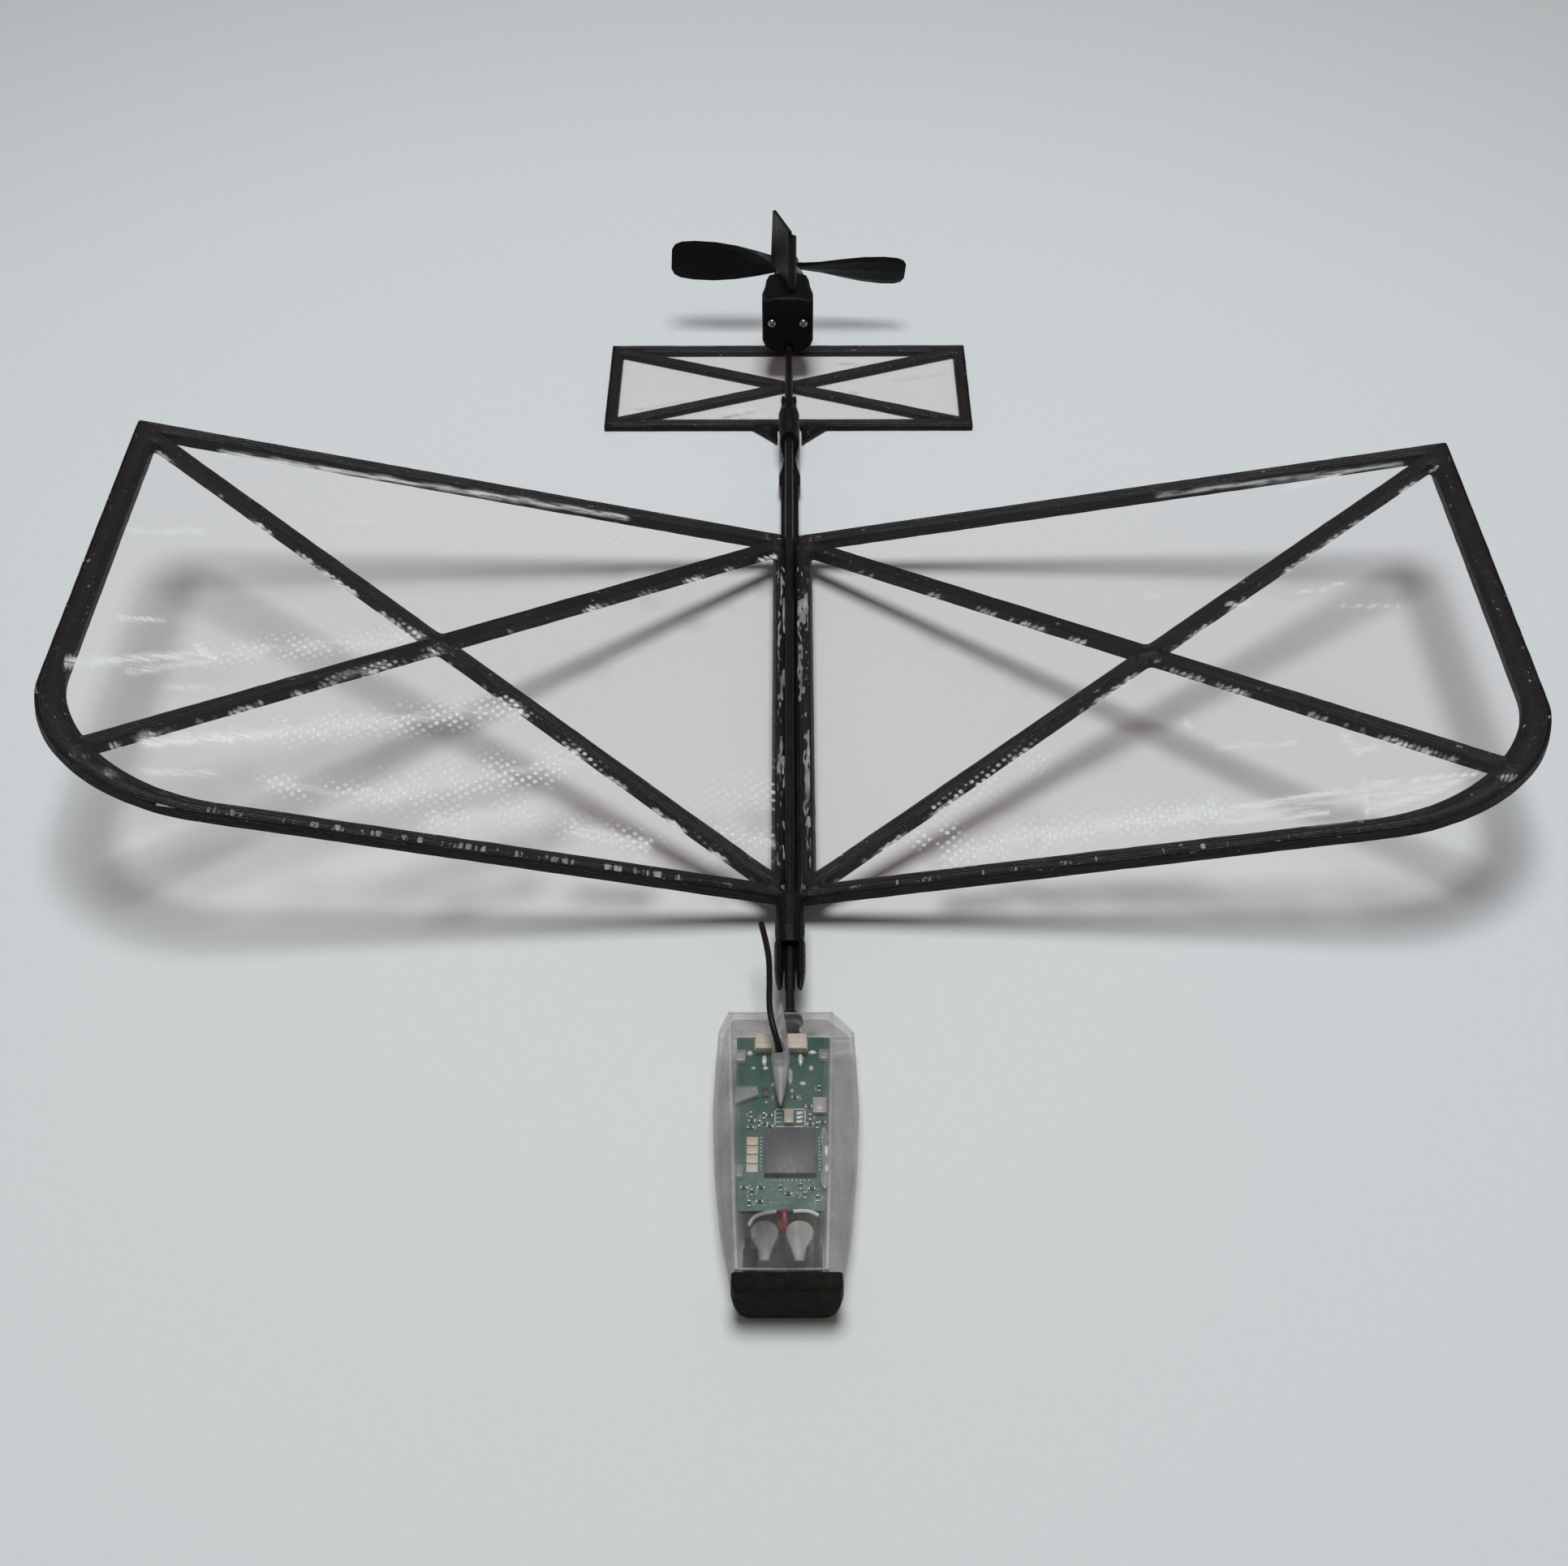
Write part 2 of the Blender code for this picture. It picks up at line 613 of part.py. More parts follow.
def motor_housing(mat):
    sections = [housing_section(HOUSING_FRONT, 4.4, 17.2, 5.1), housing_section(109.0, 4.7, 17.4, 4.8),
                housing_section(112.5, 4.7, 17.4, 4.9), housing_section(115.0, 4.2, 17.3, 6.4),
                housing_section(HOUSING_REAR, 3.95, 17.2, 8.2)]
    body = loft(sections)
    bore = lathe([(110.0, 0.0), (110.0, 3.3), (119.0, 3.3), (119.0, 0.0)], 0.0, MOTOR_Z, 28)
    rod_hole = lathe([(107.0, 0.0), (107.0, 1.0), (110.6, 1.0), (110.6, 0.0)], 0.0, ROD_Z, 20)
    body = combine(body, bore, "DIFFERENCE")
    body = combine(body, rod_hole, "DIFFERENCE")
    return add_piece("motor_housing", body, mat, smooth=35.0)


def motor_parts(can_mat, cap_mat, coil_mat):
    can = [(111.9, 0.0), (111.9, 2.7), (112.2, MOTOR_RADIUS), (121.6, MOTOR_RADIUS), (121.9, 2.8),
           (121.9, 0.51), (119.6, 0.51), (119.6, 0.0)]
    add_piece("motor_can", lathe(can, 0.0, MOTOR_Z, 28), can_mat)
    cap = [(122.2, 0.51), (122.2, 1.9), (123.2, 1.6), (123.2, 0.51)]
    add_piece("motor_end_cap", lathe(cap, 0.0, MOTOR_Z, 20, closed=True), cap_mat)
    coil = [(110.35, 1.2), (110.35, 2.9), (111.5, 2.9), (111.5, 1.2)]
    add_piece("rudder_coil", lathe(coil, 0.0, MOTOR_Z, 24, closed=True), coil_mat)


def housing_rivet(name, x, mat):
    profile = [(108.3, 0.0), (108.3, 0.95), (108.05, 0.95), (107.85, 0.55), (107.8, 0.0)]
    return add_piece(name, lathe(profile, x, 12.34, 16), mat)


def rudder_pin(mat):
    outline = []
    for i in range(12):
        angle = 2.0 * math.pi * i / 12
        outline.append((RUDDER_X + 0.3 * math.cos(angle), RUDDER_Y + 0.3 * math.sin(angle)))
    bm = prism(outline, 17.7, RUDDER_TOP - 0.4, lambda x, y, z: (x, y, z))
    return add_piece("rudder_pin", bm, mat)


# ------------------------------------------------------------------ moving pieces
def rudder(mat):
    """Flat fin with a rolled leading edge that turns on the pin."""
    sides = 16
    barrel = []
    hole = []
    for i in range(sides):
        angle = 2.0 * math.pi * i / sides
        barrel.append((0.85 * math.cos(angle), 0.85 * math.sin(angle)))
        hole.append((0.39 * math.cos(angle), 0.39 * math.sin(angle)))
    turn = Matrix.Rotation(RUDDER_REST_ANGLE, 3, "Z")

    def place(u, v, z):
        return turn @ Vector((u, v, 0.0)) + Vector((RUDDER_X, RUDDER_Y, z))
    tube = prism(barrel, RUDDER_BOTTOM + 0.3, RUDDER_TOP - 0.6, place, [hole])
    corners = []
    for x in (-0.3, 0.3):
        loop = [(0.7, RUDDER_BOTTOM), (9.8, RUDDER_BOTTOM), (8.6, RUDDER_TOP), (0.7, RUDDER_TOP)]
        corners.append([place(x, c, z) for c, z in loop])
    body = combine(tube, loft(corners), "UNION")
    return add_piece("rudder", body, mat, origin=(RUDDER_X, RUDDER_Y, RUDDER_BOTTOM), smooth=35.0)


def blade(direction):
    """One blade, drawn outwards along direction * X from the shaft centre."""
    stations = ((1.0, 2.6, 42.0, 1.3), (3.0, 3.2, 40.0, 1.2), (6.0, 4.6, 33.0, 1.0), (10.0, 6.2, 26.0, 0.85),
                (14.0, 7.2, 20.0, 0.75), (18.0, 7.4, 16.0, 0.65), (20.5, 6.9, 14.5, 0.55),
                (21.7, 5.8, 14.0, 0.5), (PROP_RADIUS, 3.8, 14.0, 0.4))
    shape = ((-0.5, 0.0), (-0.35, 0.38), (0.0, 0.5), (0.35, 0.3), (0.5, 0.0), (0.35, -0.3),
             (0.0, -0.32), (-0.35, -0.28))
    sections = []
    for radius, chord, pitch, thick in stations:
        lean = math.radians(pitch) * direction
        loop = []
        for u, w in shape:
            up = chord * u
            out = thick * w * -1.0
            y = -up * math.sin(lean) + out * math.cos(lean)
            z = up * math.cos(lean) + out * math.sin(lean)
            loop.append((direction * radius, PROP_Y + y, MOTOR_Z + z))
        sections.append(loop)
    return loft(sections)


def propeller(mat):
    hub = lathe([(124.3, 0.0), (124.3, 1.9), (127.3, 1.9), (128.0, 1.3), (128.2, 0.0)], 0.0, MOTOR_Z, 24)
    for direction in (-1.0, 1.0):
        hub = combine(hub, blade(direction), "UNION")
    bore = lathe([(123.0, 0.0), (123.0, 0.75), (127.2, 0.75), (127.2, 0.0)], 0.0, MOTOR_Z, 20)
    body = combine(hub, bore, "DIFFERENCE")
    centre = Vector((0.0, PROP_Y, MOTOR_Z))
    turn = Matrix.Rotation(PROP_REST_ANGLE, 4, "Y")
    body.transform(Matrix.Translation(centre) @ turn @ Matrix.Translation(-centre))
    return add_piece("propeller", body, mat, origin=centre, smooth=35.0)


def motor_shaft(mat):
    profile = [(120.0, 0.0), (120.0, 0.42), (126.8, 0.42), (126.8, 0.0)]
    return add_piece("motor_shaft", lathe(profile, 0.0, MOTOR_Z, 16), mat, origin=(0.0, 122.0, MOTOR_Z))


# ------------------------------------------------------------------ build
def build():
    clear_scene()
    black = material("black_print", (0.012, 0.010, 0.009), 0.5)
    film = material("clear_film", (0.9, 0.9, 0.9), 0.1, 0.0, 0.9)
    clear = material("clear_shell", (0.8, 0.82, 0.82), 0.1, 0.0, 0.85)
    rubber = material("bumper_rubber", (0.012, 0.012, 0.010), 0.7)
    carbon = material("carbon", (0.01, 0.01, 0.01), 0.35)
    steel = material("steel", (0.6, 0.6, 0.6), 0.3, 1.0)
    green = material("board_green", (0.01, 0.12, 0.07), 0.4)
    chip = material("chip_black", (0.03, 0.03, 0.035), 0.4)
    tan = material("tan_ceramic", (0.45, 0.33, 0.18), 0.5)
    cream = material("cream_plastic", (0.7, 0.65, 0.5), 0.5)
    foil = material("battery_foil", (0.5, 0.5, 0.5), 0.35, 1.0)
    red = material("red_wire", (0.5, 0.02, 0.02), 0.4)
    dark_wire = material("dark_wire", (0.02, 0.01, 0.01), 0.4)
    copper = material("copper_coil", (0.6, 0.25, 0.1), 0.3, 1.0)
    gloss = material("gloss_black", (0.01, 0.01, 0.01), 0.3)

    fuselage_bar(black)
    rod_clip_front(black)
    rod_clip_rear(black)
    wing_frame("left_wing_frame", left_wing_place, black)
    wing_frame("right_wing_frame", right_wing_place, black)
    wing_film("left_wing_film", left_wing_place, 1.65, film)
    wing_film("right_wing_film", right_wing_place, 0.6, film)
    stabilizer_frame(black)
    stabilizer_film(film)
    tail_joint_strip(clear)
    carbon_rod(carbon)
    lead_bundle(red)
    rod_socket(clear)
    pod_upper_shell(clear)
    pod_lower_shell(clear)
    pod_spine(clear)
    bumper(rubber)
    circuit_board(green)
    board_parts(chip, steel, tan, cream)
    battery(foil)
    battery_leads(red, dark_wire)
    bumper_post("bumper_post_left", -3.1, 0.6, clear)
    bumper_post("bumper_post_right", 1.1, 0.9, clear)
    antenna_wire(dark_wire)
    motor_housing(gloss)
    motor_parts(steel, cream, copper)
    housing_rivet("housing_rivet_left", -3.1, steel)
    housing_rivet("housing_rivet_right", 2.7, steel)
    rudder_pin(steel)
    rudder(black)
    propeller(gloss)
    motor_shaft(steel)


build()
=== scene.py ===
"""Rubber band plane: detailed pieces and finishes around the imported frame."""

import math
import random

import bmesh
import bpy
from mathutils import Matrix, Vector, noise


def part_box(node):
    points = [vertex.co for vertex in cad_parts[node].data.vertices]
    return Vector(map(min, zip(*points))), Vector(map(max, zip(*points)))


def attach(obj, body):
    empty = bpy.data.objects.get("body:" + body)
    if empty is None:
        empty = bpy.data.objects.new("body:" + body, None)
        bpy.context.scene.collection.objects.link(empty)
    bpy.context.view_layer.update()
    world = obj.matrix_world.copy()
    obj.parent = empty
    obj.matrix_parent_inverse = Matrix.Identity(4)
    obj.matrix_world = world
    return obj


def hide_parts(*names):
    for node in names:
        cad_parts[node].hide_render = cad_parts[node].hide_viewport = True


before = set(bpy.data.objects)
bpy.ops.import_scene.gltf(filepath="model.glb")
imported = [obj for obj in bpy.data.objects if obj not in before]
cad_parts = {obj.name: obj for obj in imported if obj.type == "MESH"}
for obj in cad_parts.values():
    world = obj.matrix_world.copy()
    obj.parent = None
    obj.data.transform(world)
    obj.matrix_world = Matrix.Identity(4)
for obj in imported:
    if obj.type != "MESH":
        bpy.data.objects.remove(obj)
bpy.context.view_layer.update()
MM = 0.001

# The drawing is in millimetres: X from the carbon rod's line, Z from the table, and the wings'
# rear edge at Y = 56.
WING_REAR = 56.0
ROD_LOW, ROD_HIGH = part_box("carbon_rod")
ORIGIN = Vector(((ROD_LOW.x + ROD_HIGH.x) / 2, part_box("left_wing_frame")[1].y - WING_REAR * MM, 0.0))


def at(x, y, z):
    """Millimetres on the drawing to metres in the shared frame."""
    return ORIGIN + Vector((x, y, z)) * MM


# ------------------------------------------------------------------ camera, floor and light
CAMERA_PLACE = (-0.023, -179.39, 204.774)
CAMERA_TURN = (47.983, -0.255, -0.286)
LENS = 41.728


def make_camera():
    """Looks down over the nose; the turn is degrees of pitch down, yaw and roll."""
    pitch, yaw, roll = (math.radians(a) for a in CAMERA_TURN)
    ahead = Vector((math.sin(yaw) * math.cos(pitch), math.cos(yaw) * math.cos(pitch), -math.sin(pitch)))
    right = Vector((math.cos(yaw), -math.sin(yaw), 0.0))
    up = right.cross(ahead)
    side = right * math.cos(roll) + up * math.sin(roll)
    top = up * math.cos(roll) - right * math.sin(roll)
    data = bpy.data.cameras.new("camera")
    data.sensor_width = 36.0
    data.lens = LENS
    data.clip_start = 0.01
    data.clip_end = 10.0
    camera = bpy.data.objects.new("camera", data)
    turn = Matrix((side, top, -ahead)).transposed()
    camera.matrix_world = Matrix.Translation(at(*CAMERA_PLACE)) @ turn.to_4x4()
    bpy.context.scene.collection.objects.link(camera)
    bpy.context.scene.camera = camera


def soft_light(name, place, target, size, power, colour):
    data = bpy.data.lights.new(name, "AREA")
    data.shape = "DISK"
    data.size = size
    data.energy = power
    data.color = colour
    lamp = bpy.data.objects.new(name, data)
    lamp.location = place
    lamp.rotation_euler = (Vector(target) - Vector(place)).to_track_quat("-Z", "Y").to_euler()
    bpy.context.scene.collection.objects.link(lamp)


# metres from the middle of a painted pool of light on the floor, and the paper's colour there with that light
# painted in
FLOOR_LIGHT_POOL = ((0.05, (0.812, 0.797, 0.786)), (0.15, (0.786, 0.786, 0.794)),
               (0.22, (0.770, 0.772, 0.778)), (0.36, (0.665, 0.660, 0.658)))
LIGHT_POOL_MIDDLE = (0.02, 0.06, 0.0)


def floor_finish():
    """Pale matt paper with a faint fibre, and a painted pool of light: lighter and warmer near the middle,
    darker further out.
    """
    mat, tree, shader = new_finish("floor_paper", 0.9, 0.0, 0.1)
    place = place_node(tree)
    place.node.inputs["Location"].default_value = LIGHT_POOL_MIDDLE
    away = tree.nodes.new("ShaderNodeVectorMath")
    away.operation = "LENGTH"
    tree.links.new(place, away.inputs[0])
    # painted pool of light: the floor's colour set by distance from its middle
    tone = ramp_node(tree, away.outputs["Value"], FLOOR_LIGHT_POOL)
    fibre = ramp_node(tree, noise_node(tree, place, 900.0, 6.0, 0.7), [(0.3, 0.965), (0.7, 1.0)])
    made = tree.nodes.new("ShaderNodeMix")
    made.data_type, made.blend_type = "RGBA", "MULTIPLY"
    made.inputs[0].default_value = 1.0
    tree.links.new(tone, made.inputs[6])
    tree.links.new(fibre, made.inputs[7])
    tree.links.new(made.outputs[2], shader.inputs["Base Color"])
    return mat


def make_room():
    """A weak warm fill, and a plain pale backdrop where the camera sees past the floor."""
    world = bpy.data.worlds.new("room")
    world.use_nodes = True
    tree = world.node_tree
    fill = tree.nodes["Background"]
    fill.inputs["Color"].default_value = (1.0, 0.90, 0.86, 1.0)
    fill.inputs["Strength"].default_value = 0.15
    backdrop = tree.nodes.new("ShaderNodeBackground")
    backdrop.inputs["Color"].default_value = (0.56, 0.585, 0.60, 1.0)
    seen = tree.nodes.new("ShaderNodeLightPath")
    choose = tree.nodes.new("ShaderNodeMixShader")
    tree.links.new(seen.outputs["Is Camera Ray"], choose.inputs["Fac"])
    tree.links.new(fill.outputs[0], choose.inputs[1])
    tree.links.new(backdrop.outputs[0], choose.inputs[2])
    tree.links.new(choose.outputs[0], tree.nodes["World Output"].inputs["Surface"])
    bpy.context.scene.world = world


def make_stage():
    bm = bmesh.new()
    bmesh.ops.create_grid(bm, x_segments=8, y_segments=8, size=3.0)
    bmesh.ops.translate(bm, verts=bm.verts[:], vec=(0.0, 0.5, -0.0002))
    mesh = bpy.data.meshes.new("floor")
    bm.to_mesh(mesh)
    bm.free()
    mesh.materials.append(floor_finish())
    floor = bpy.data.objects.new("floor", mesh)
    bpy.context.scene.collection.objects.link(floor)
    make_room()
    bpy.context.scene.view_settings.view_transform = "Standard"
    soft_light("overhead", (0.0, 0.05, 0.9), (0.0, 0.0, 0.0), 0.36, 6.0, (0.885, 0.965, 1.0))


# ------------------------------------------------------------------ making pieces
def sharpen(bm, degrees):
    """Smooth shading, with creases where faces meet at more than the given angle."""
    limit = math.radians(degrees)
    for face in bm.faces:
        face.smooth = True
    for edge in bm.edges:
        if len(edge.link_faces) == 2 and edge.calc_face_angle(0.0) > limit:
            edge.smooth = False


def add_piece(name, bm, mat, body, nodes=(), smooth=38.0, tidy=True):
    """Turns a drawing in millimetres into a finished piece in the shared frame."""
    if tidy:
        bmesh.ops.remove_doubles(bm, verts=bm.verts[:], dist=0.001)
        bmesh.ops.recalc_face_normals(bm, faces=bm.faces[:])
    bm.transform(Matrix.Translation(ORIGIN) @ Matrix.Scale(MM, 4))
    sharpen(bm, smooth)
    mesh = bpy.data.meshes.new(name)
    bm.to_mesh(mesh)
    bm.free()
    mesh.materials.append(mat)
    piece = bpy.data.objects.new(name, mesh)
    bpy.context.scene.collection.objects.link(piece)
    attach(piece, body)
    if nodes:
        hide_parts(*nodes)
    return piece


def chip_block(bm, low, high, bevel=0.05, turn=0.0, segments=2):
    """A bevelled block between two corners, turned about its own upright axis."""
    size = [high[i] - low[i] for i in range(3)]
    middle = [(high[i] + low[i]) / 2 for i in range(3)]
    place = Matrix.Translation(middle) @ Matrix.Rotation(math.radians(turn), 4, "Z")
    place = place @ Matrix.Diagonal((*size, 1.0))
    made = bmesh.ops.create_cube(bm, size=1.0, matrix=place)
    edges = {edge for vert in made["verts"] for edge in vert.link_edges}
    if bevel > 0.0:
        bmesh.ops.bevel(bm, geom=list(edges), offset=bevel, segments=segments, profile=0.5,
                        affect="EDGES", material=-1)


def raised(bm, outline, low, high):
    """A flat outline at one height, extruded up to another."""
    face = bm.faces.new([bm.verts.new((x, y, low)) for x, y in outline])
    for item in bmesh.ops.extrude_face_region(bm, geom=[face])["geom"]:
        if isinstance(item, bmesh.types.BMVert):
            item.co.z = high


def round_rim(bm, above, offset, segments):
    """Bevels every edge that lies above a height."""
    rim = [edge for edge in bm.edges if all(vert.co.z > above for vert in edge.verts)]
    bmesh.ops.bevel(bm, geom=rim, offset=offset, segments=segments, profile=0.5, affect="EDGES", material=-1)


def dome(bm, middle, radii, around, rings):
    """An ellipsoid, for a blob of solder or a soft glint."""
    place = Matrix.Translation(middle) @ Matrix.Diagonal((*radii, 1.0))
    bmesh.ops.create_uvsphere(bm, u_segments=around, v_segments=rings, radius=1.0, matrix=place)


def turned(bm, profile, x, z, steps=32):
    """Spins (y, radius) points about the Y axis through x, z."""
    verts = [bm.verts.new((x + radius, y, z)) for y, radius in profile]
    edges = [bm.edges.new(pair) for pair in zip(verts, verts[1:])]
    bmesh.ops.spin(bm, geom=verts + edges, cent=(x, 0.0, z), axis=(0.0, 1.0, 0.0),
                   angle=2.0 * math.pi, steps=steps, use_merge=True)


def skin(bm, sections, caps=True):
    """Bridges closed loops of points, one after another."""
    rings = []
    for loop in sections:
        verts = [bm.verts.new(point) for point in loop]
        rings.append([bm.edges.new((verts[i - 1], verts[i])) for i in range(len(verts))])
    for first, second in zip(rings, rings[1:]):
        bmesh.ops.bridge_loops(bm, edges=first + second)
    if caps:
        bmesh.ops.contextual_create(bm, geom=rings[0])
        bmesh.ops.contextual_create(bm, geom=rings[-1])


def tube(bm, path, radius, sides=12):
    """Round wire along a list of points."""
    normal = Vector((1.0, 0.0, 0.0))
    sections = []
    for i, point in enumerate(path):
        ahead = (path[min(i + 1, len(path) - 1)] - path[max(i - 1, 0)]).normalized()
        normal = (normal - ahead * normal.dot(ahead)).normalized()
        side = ahead.cross(normal)
        size = radius(i / (len(path) - 1)) if callable(radius) else radius
        loop = []
        for k in range(sides):
            angle = 2.0 * math.pi * k / sides
            loop.append(point + (normal * math.cos(angle) + side * math.sin(angle)) * size)
        sections.append(loop)
    skin(bm, sections)


def smooth_path(points, steps=6):
    """A smooth curve through every point."""
    pts = [Vector(p) for p in points]
    pts = [2 * pts[0] - pts[1], *pts, 2 * pts[-1] - pts[-2]]
    path = []
    for i in range(1, len(pts) - 2):
        a, b, c, d = pts[i - 1:i + 3]
        for k in range(steps):
            t = k / steps
            bend = 2 * b + (c - a) * t + (2 * a - 5 * b + 4 * c - d) * t * t
            path.append((bend + (3 * b - a - 3 * c + d) * t * t * t) * 0.5)
    path.append(pts[-2])
    return path


def thin_line(bm, points, radius, sides=6):
    tube(bm, smooth_path(points, 5), radius, sides)


# ------------------------------------------------------------------ finishes
def new_finish(name, rough=0.5, metal=0.0, shine=0.5, colour=(0.5, 0.5, 0.5)):
    mat = bpy.data.materials.new(name)
    mat.use_nodes = True
    tree = mat.node_tree
    shader = tree.nodes["Principled BSDF"]
    shader.inputs["Base Color"].default_value = (*colour, 1.0)
    shader.inputs["Roughness"].default_value = rough
    shader.inputs["Metallic"].default_value = metal
    shader.inputs["Specular IOR Level"].default_value = shine
    return mat, tree, shader


def math_node(tree, operation, a, b=None, clamp=False):
    made = tree.nodes.new("ShaderNodeMath")
    made.operation = operation
    made.use_clamp = clamp
    for index, value in enumerate((a, b)):
        if value is None:
            continue
        if isinstance(value, (int, float)):
            made.inputs[index].default_value = value
        else:
            tree.links.new(value, made.inputs[index])
    return made.outputs[0]


def place_node(tree, scale=(1.0, 1.0, 1.0), turn=(0.0, 0.0, 0.0), uv=False):
    coords = tree.nodes.new("ShaderNodeTexCoord")
    mapping = tree.nodes.new("ShaderNodeMapping")
    mapping.inputs["Scale"].default_value = scale
    mapping.inputs["Rotation"].default_value = turn
    tree.links.new(coords.outputs["UV" if uv else "Object"], mapping.inputs["Vector"])
    return mapping.outputs[0]


def noise_node(tree, vector, scale, detail=4.0, rough=0.55):
    made = tree.nodes.new("ShaderNodeTexNoise")
    made.inputs["Scale"].default_value = scale
    made.inputs["Detail"].default_value = detail
    made.inputs["Roughness"].default_value = rough
    tree.links.new(vector, made.inputs["Vector"])
    return made.outputs["Fac"]


def ramp_node(tree, factor, stops):
    made = tree.nodes.new("ShaderNodeValToRGB")
    ramp = made.color_ramp
    while len(ramp.elements) < len(stops):
        ramp.elements.new(0.5)
    for element, (position, colour) in zip(ramp.elements, stops):
        element.position = position
        if isinstance(colour, (int, float)):
            colour = (colour, colour, colour)
        element.color = (*colour, 1.0)
    tree.links.new(factor, made.inputs["Fac"])
    return made.outputs["Color"]


def mix_colour(tree, factor, a, b):
    made = tree.nodes.new("ShaderNodeMix")
    made.data_type = "RGBA"
    for key, value in ((0, factor), (6, a), (7, b)):
        if isinstance(value, (int, float)):
            made.inputs[key].default_value = value
        elif isinstance(value, tuple):
            made.inputs[key].default_value = (*value, 1.0)
        else:
            tree.links.new(value, made.inputs[key])
    return made.outputs[2]


def bump_node(tree, shader, height, distance, strength=1.0):
    made = tree.nodes.new("ShaderNodeBump")
    made.inputs["Distance"].default_value = distance
    made.inputs["Strength"].default_value = strength
    tree.links.new(height, made.inputs["Height"])
    tree.links.new(made.outputs[0], shader.inputs["Normal"])


def printed_finish(name, uv):
    """Black-brown printed plastic with lengthwise strands and pale glue residue."""
    mat, tree, shader = new_finish(name, 0.42, 0.0, 0.20)
    place = place_node(tree)
    if uv:
        along = place_node(tree, (70.0, 2600.0, 1.0), uv=True)
        patches = place_node(tree, (160.0, 900.0, 1.0), uv=True)
    else:
        along = place_node(tree, (1700.0, 110.0, 1700.0))
        patches = place_node(tree, (500.0, 200.0, 500.0))
    grain = noise_node(tree, place, 1400.0, 5.0, 0.6)
    strand = noise_node(tree, along, 1.0, 3.0, 0.6)
    blotch = noise_node(tree, place, 160.0, 3.0)
    tone = math_node(tree, "MULTIPLY", strand, blotch)
    base = ramp_node(tree, tone, [(0.10, (0.0020, 0.0014, 0.0012)), (0.30, (0.0062, 0.0041, 0.0033)),
                                  (0.48, (0.019, 0.0128, 0.0100))])
    residue = math_node(tree, "MULTIPLY", noise_node(tree, patches, 1.0, 6.0, 0.72), grain)
    residue = ramp_node(tree, residue, [(0.355 if uv else 0.40, 0.0), (0.42, 1.0)])
    pale = mix_colour(tree, residue, base, (0.30, 0.28, 0.26))
    tree.links.new(pale, shader.inputs["Base Color"])
    rough = ramp_node(tree, grain, [(0.3, 0.33), (0.7, 0.62)])
    tree.links.new(rough, shader.inputs["Roughness"])
    height = math_node(tree, "ADD", strand, math_node(tree, "MULTIPLY", grain, 0.7))
    bump_node(tree, shader, height, 0.00012, 0.8)
    return mat


def moulded_finish(name, dark, light, rough=(0.25, 0.4), grain=2200.0, bump=0.00002, shine=0.5):
    """Plastic, rubber or ceramic that drifts between two colours, with a fine grain."""
    mat, tree, shader = new_finish(name, 0.4, 0.0, shine)
    place = place_node(tree)
    fine = noise_node(tree, place, grain, 4.0)
    broad = noise_node(tree, place, grain / 9.0, 3.0)
    tree.links.new(ramp_node(tree, broad, [(0.3, dark), (0.7, light)]), shader.inputs["Base Color"])
    tree.links.new(ramp_node(tree, fine, [(0.3, rough[0]), (0.7, rough[1])]), shader.inputs["Roughness"])
    bump_node(tree, shader, fine, bump)
    return mat


def metal_finish(name, dark, light, rough=(0.18, 0.38)):
    mat, tree, shader = new_finish(name, 0.3, 1.0)
    scratch = noise_node(tree, place_node(tree, (900.0, 900.0, 900.0)), 1.0, 5.0, 0.6)
    tree.links.new(ramp_node(tree, scratch, [(0.3, dark), (0.7, light)]), shader.inputs["Base Color"])
    tree.links.new(ramp_node(tree, scratch, [(0.3, rough[0]), (0.7, rough[1])]), shader.inputs["Roughness"])
    bump_node(tree, shader, scratch, 0.00001)
    return mat


def see_through(tree, shader, share, tint):
    """Lets the background through except for the given share."""
    clear = tree.nodes.new("ShaderNodeBsdfTransparent")
    clear.inputs["Color"].default_value = (*tint, 1.0)
    mix = tree.nodes.new("ShaderNodeMixShader")
    tree.links.new(share, mix.inputs["Fac"])
    tree.links.new(clear.outputs[0], mix.inputs[1])
    tree.links.new(shader.outputs[0], mix.inputs[2])
    tree.links.new(mix.outputs[0], tree.nodes["Material Output"].inputs["Surface"])


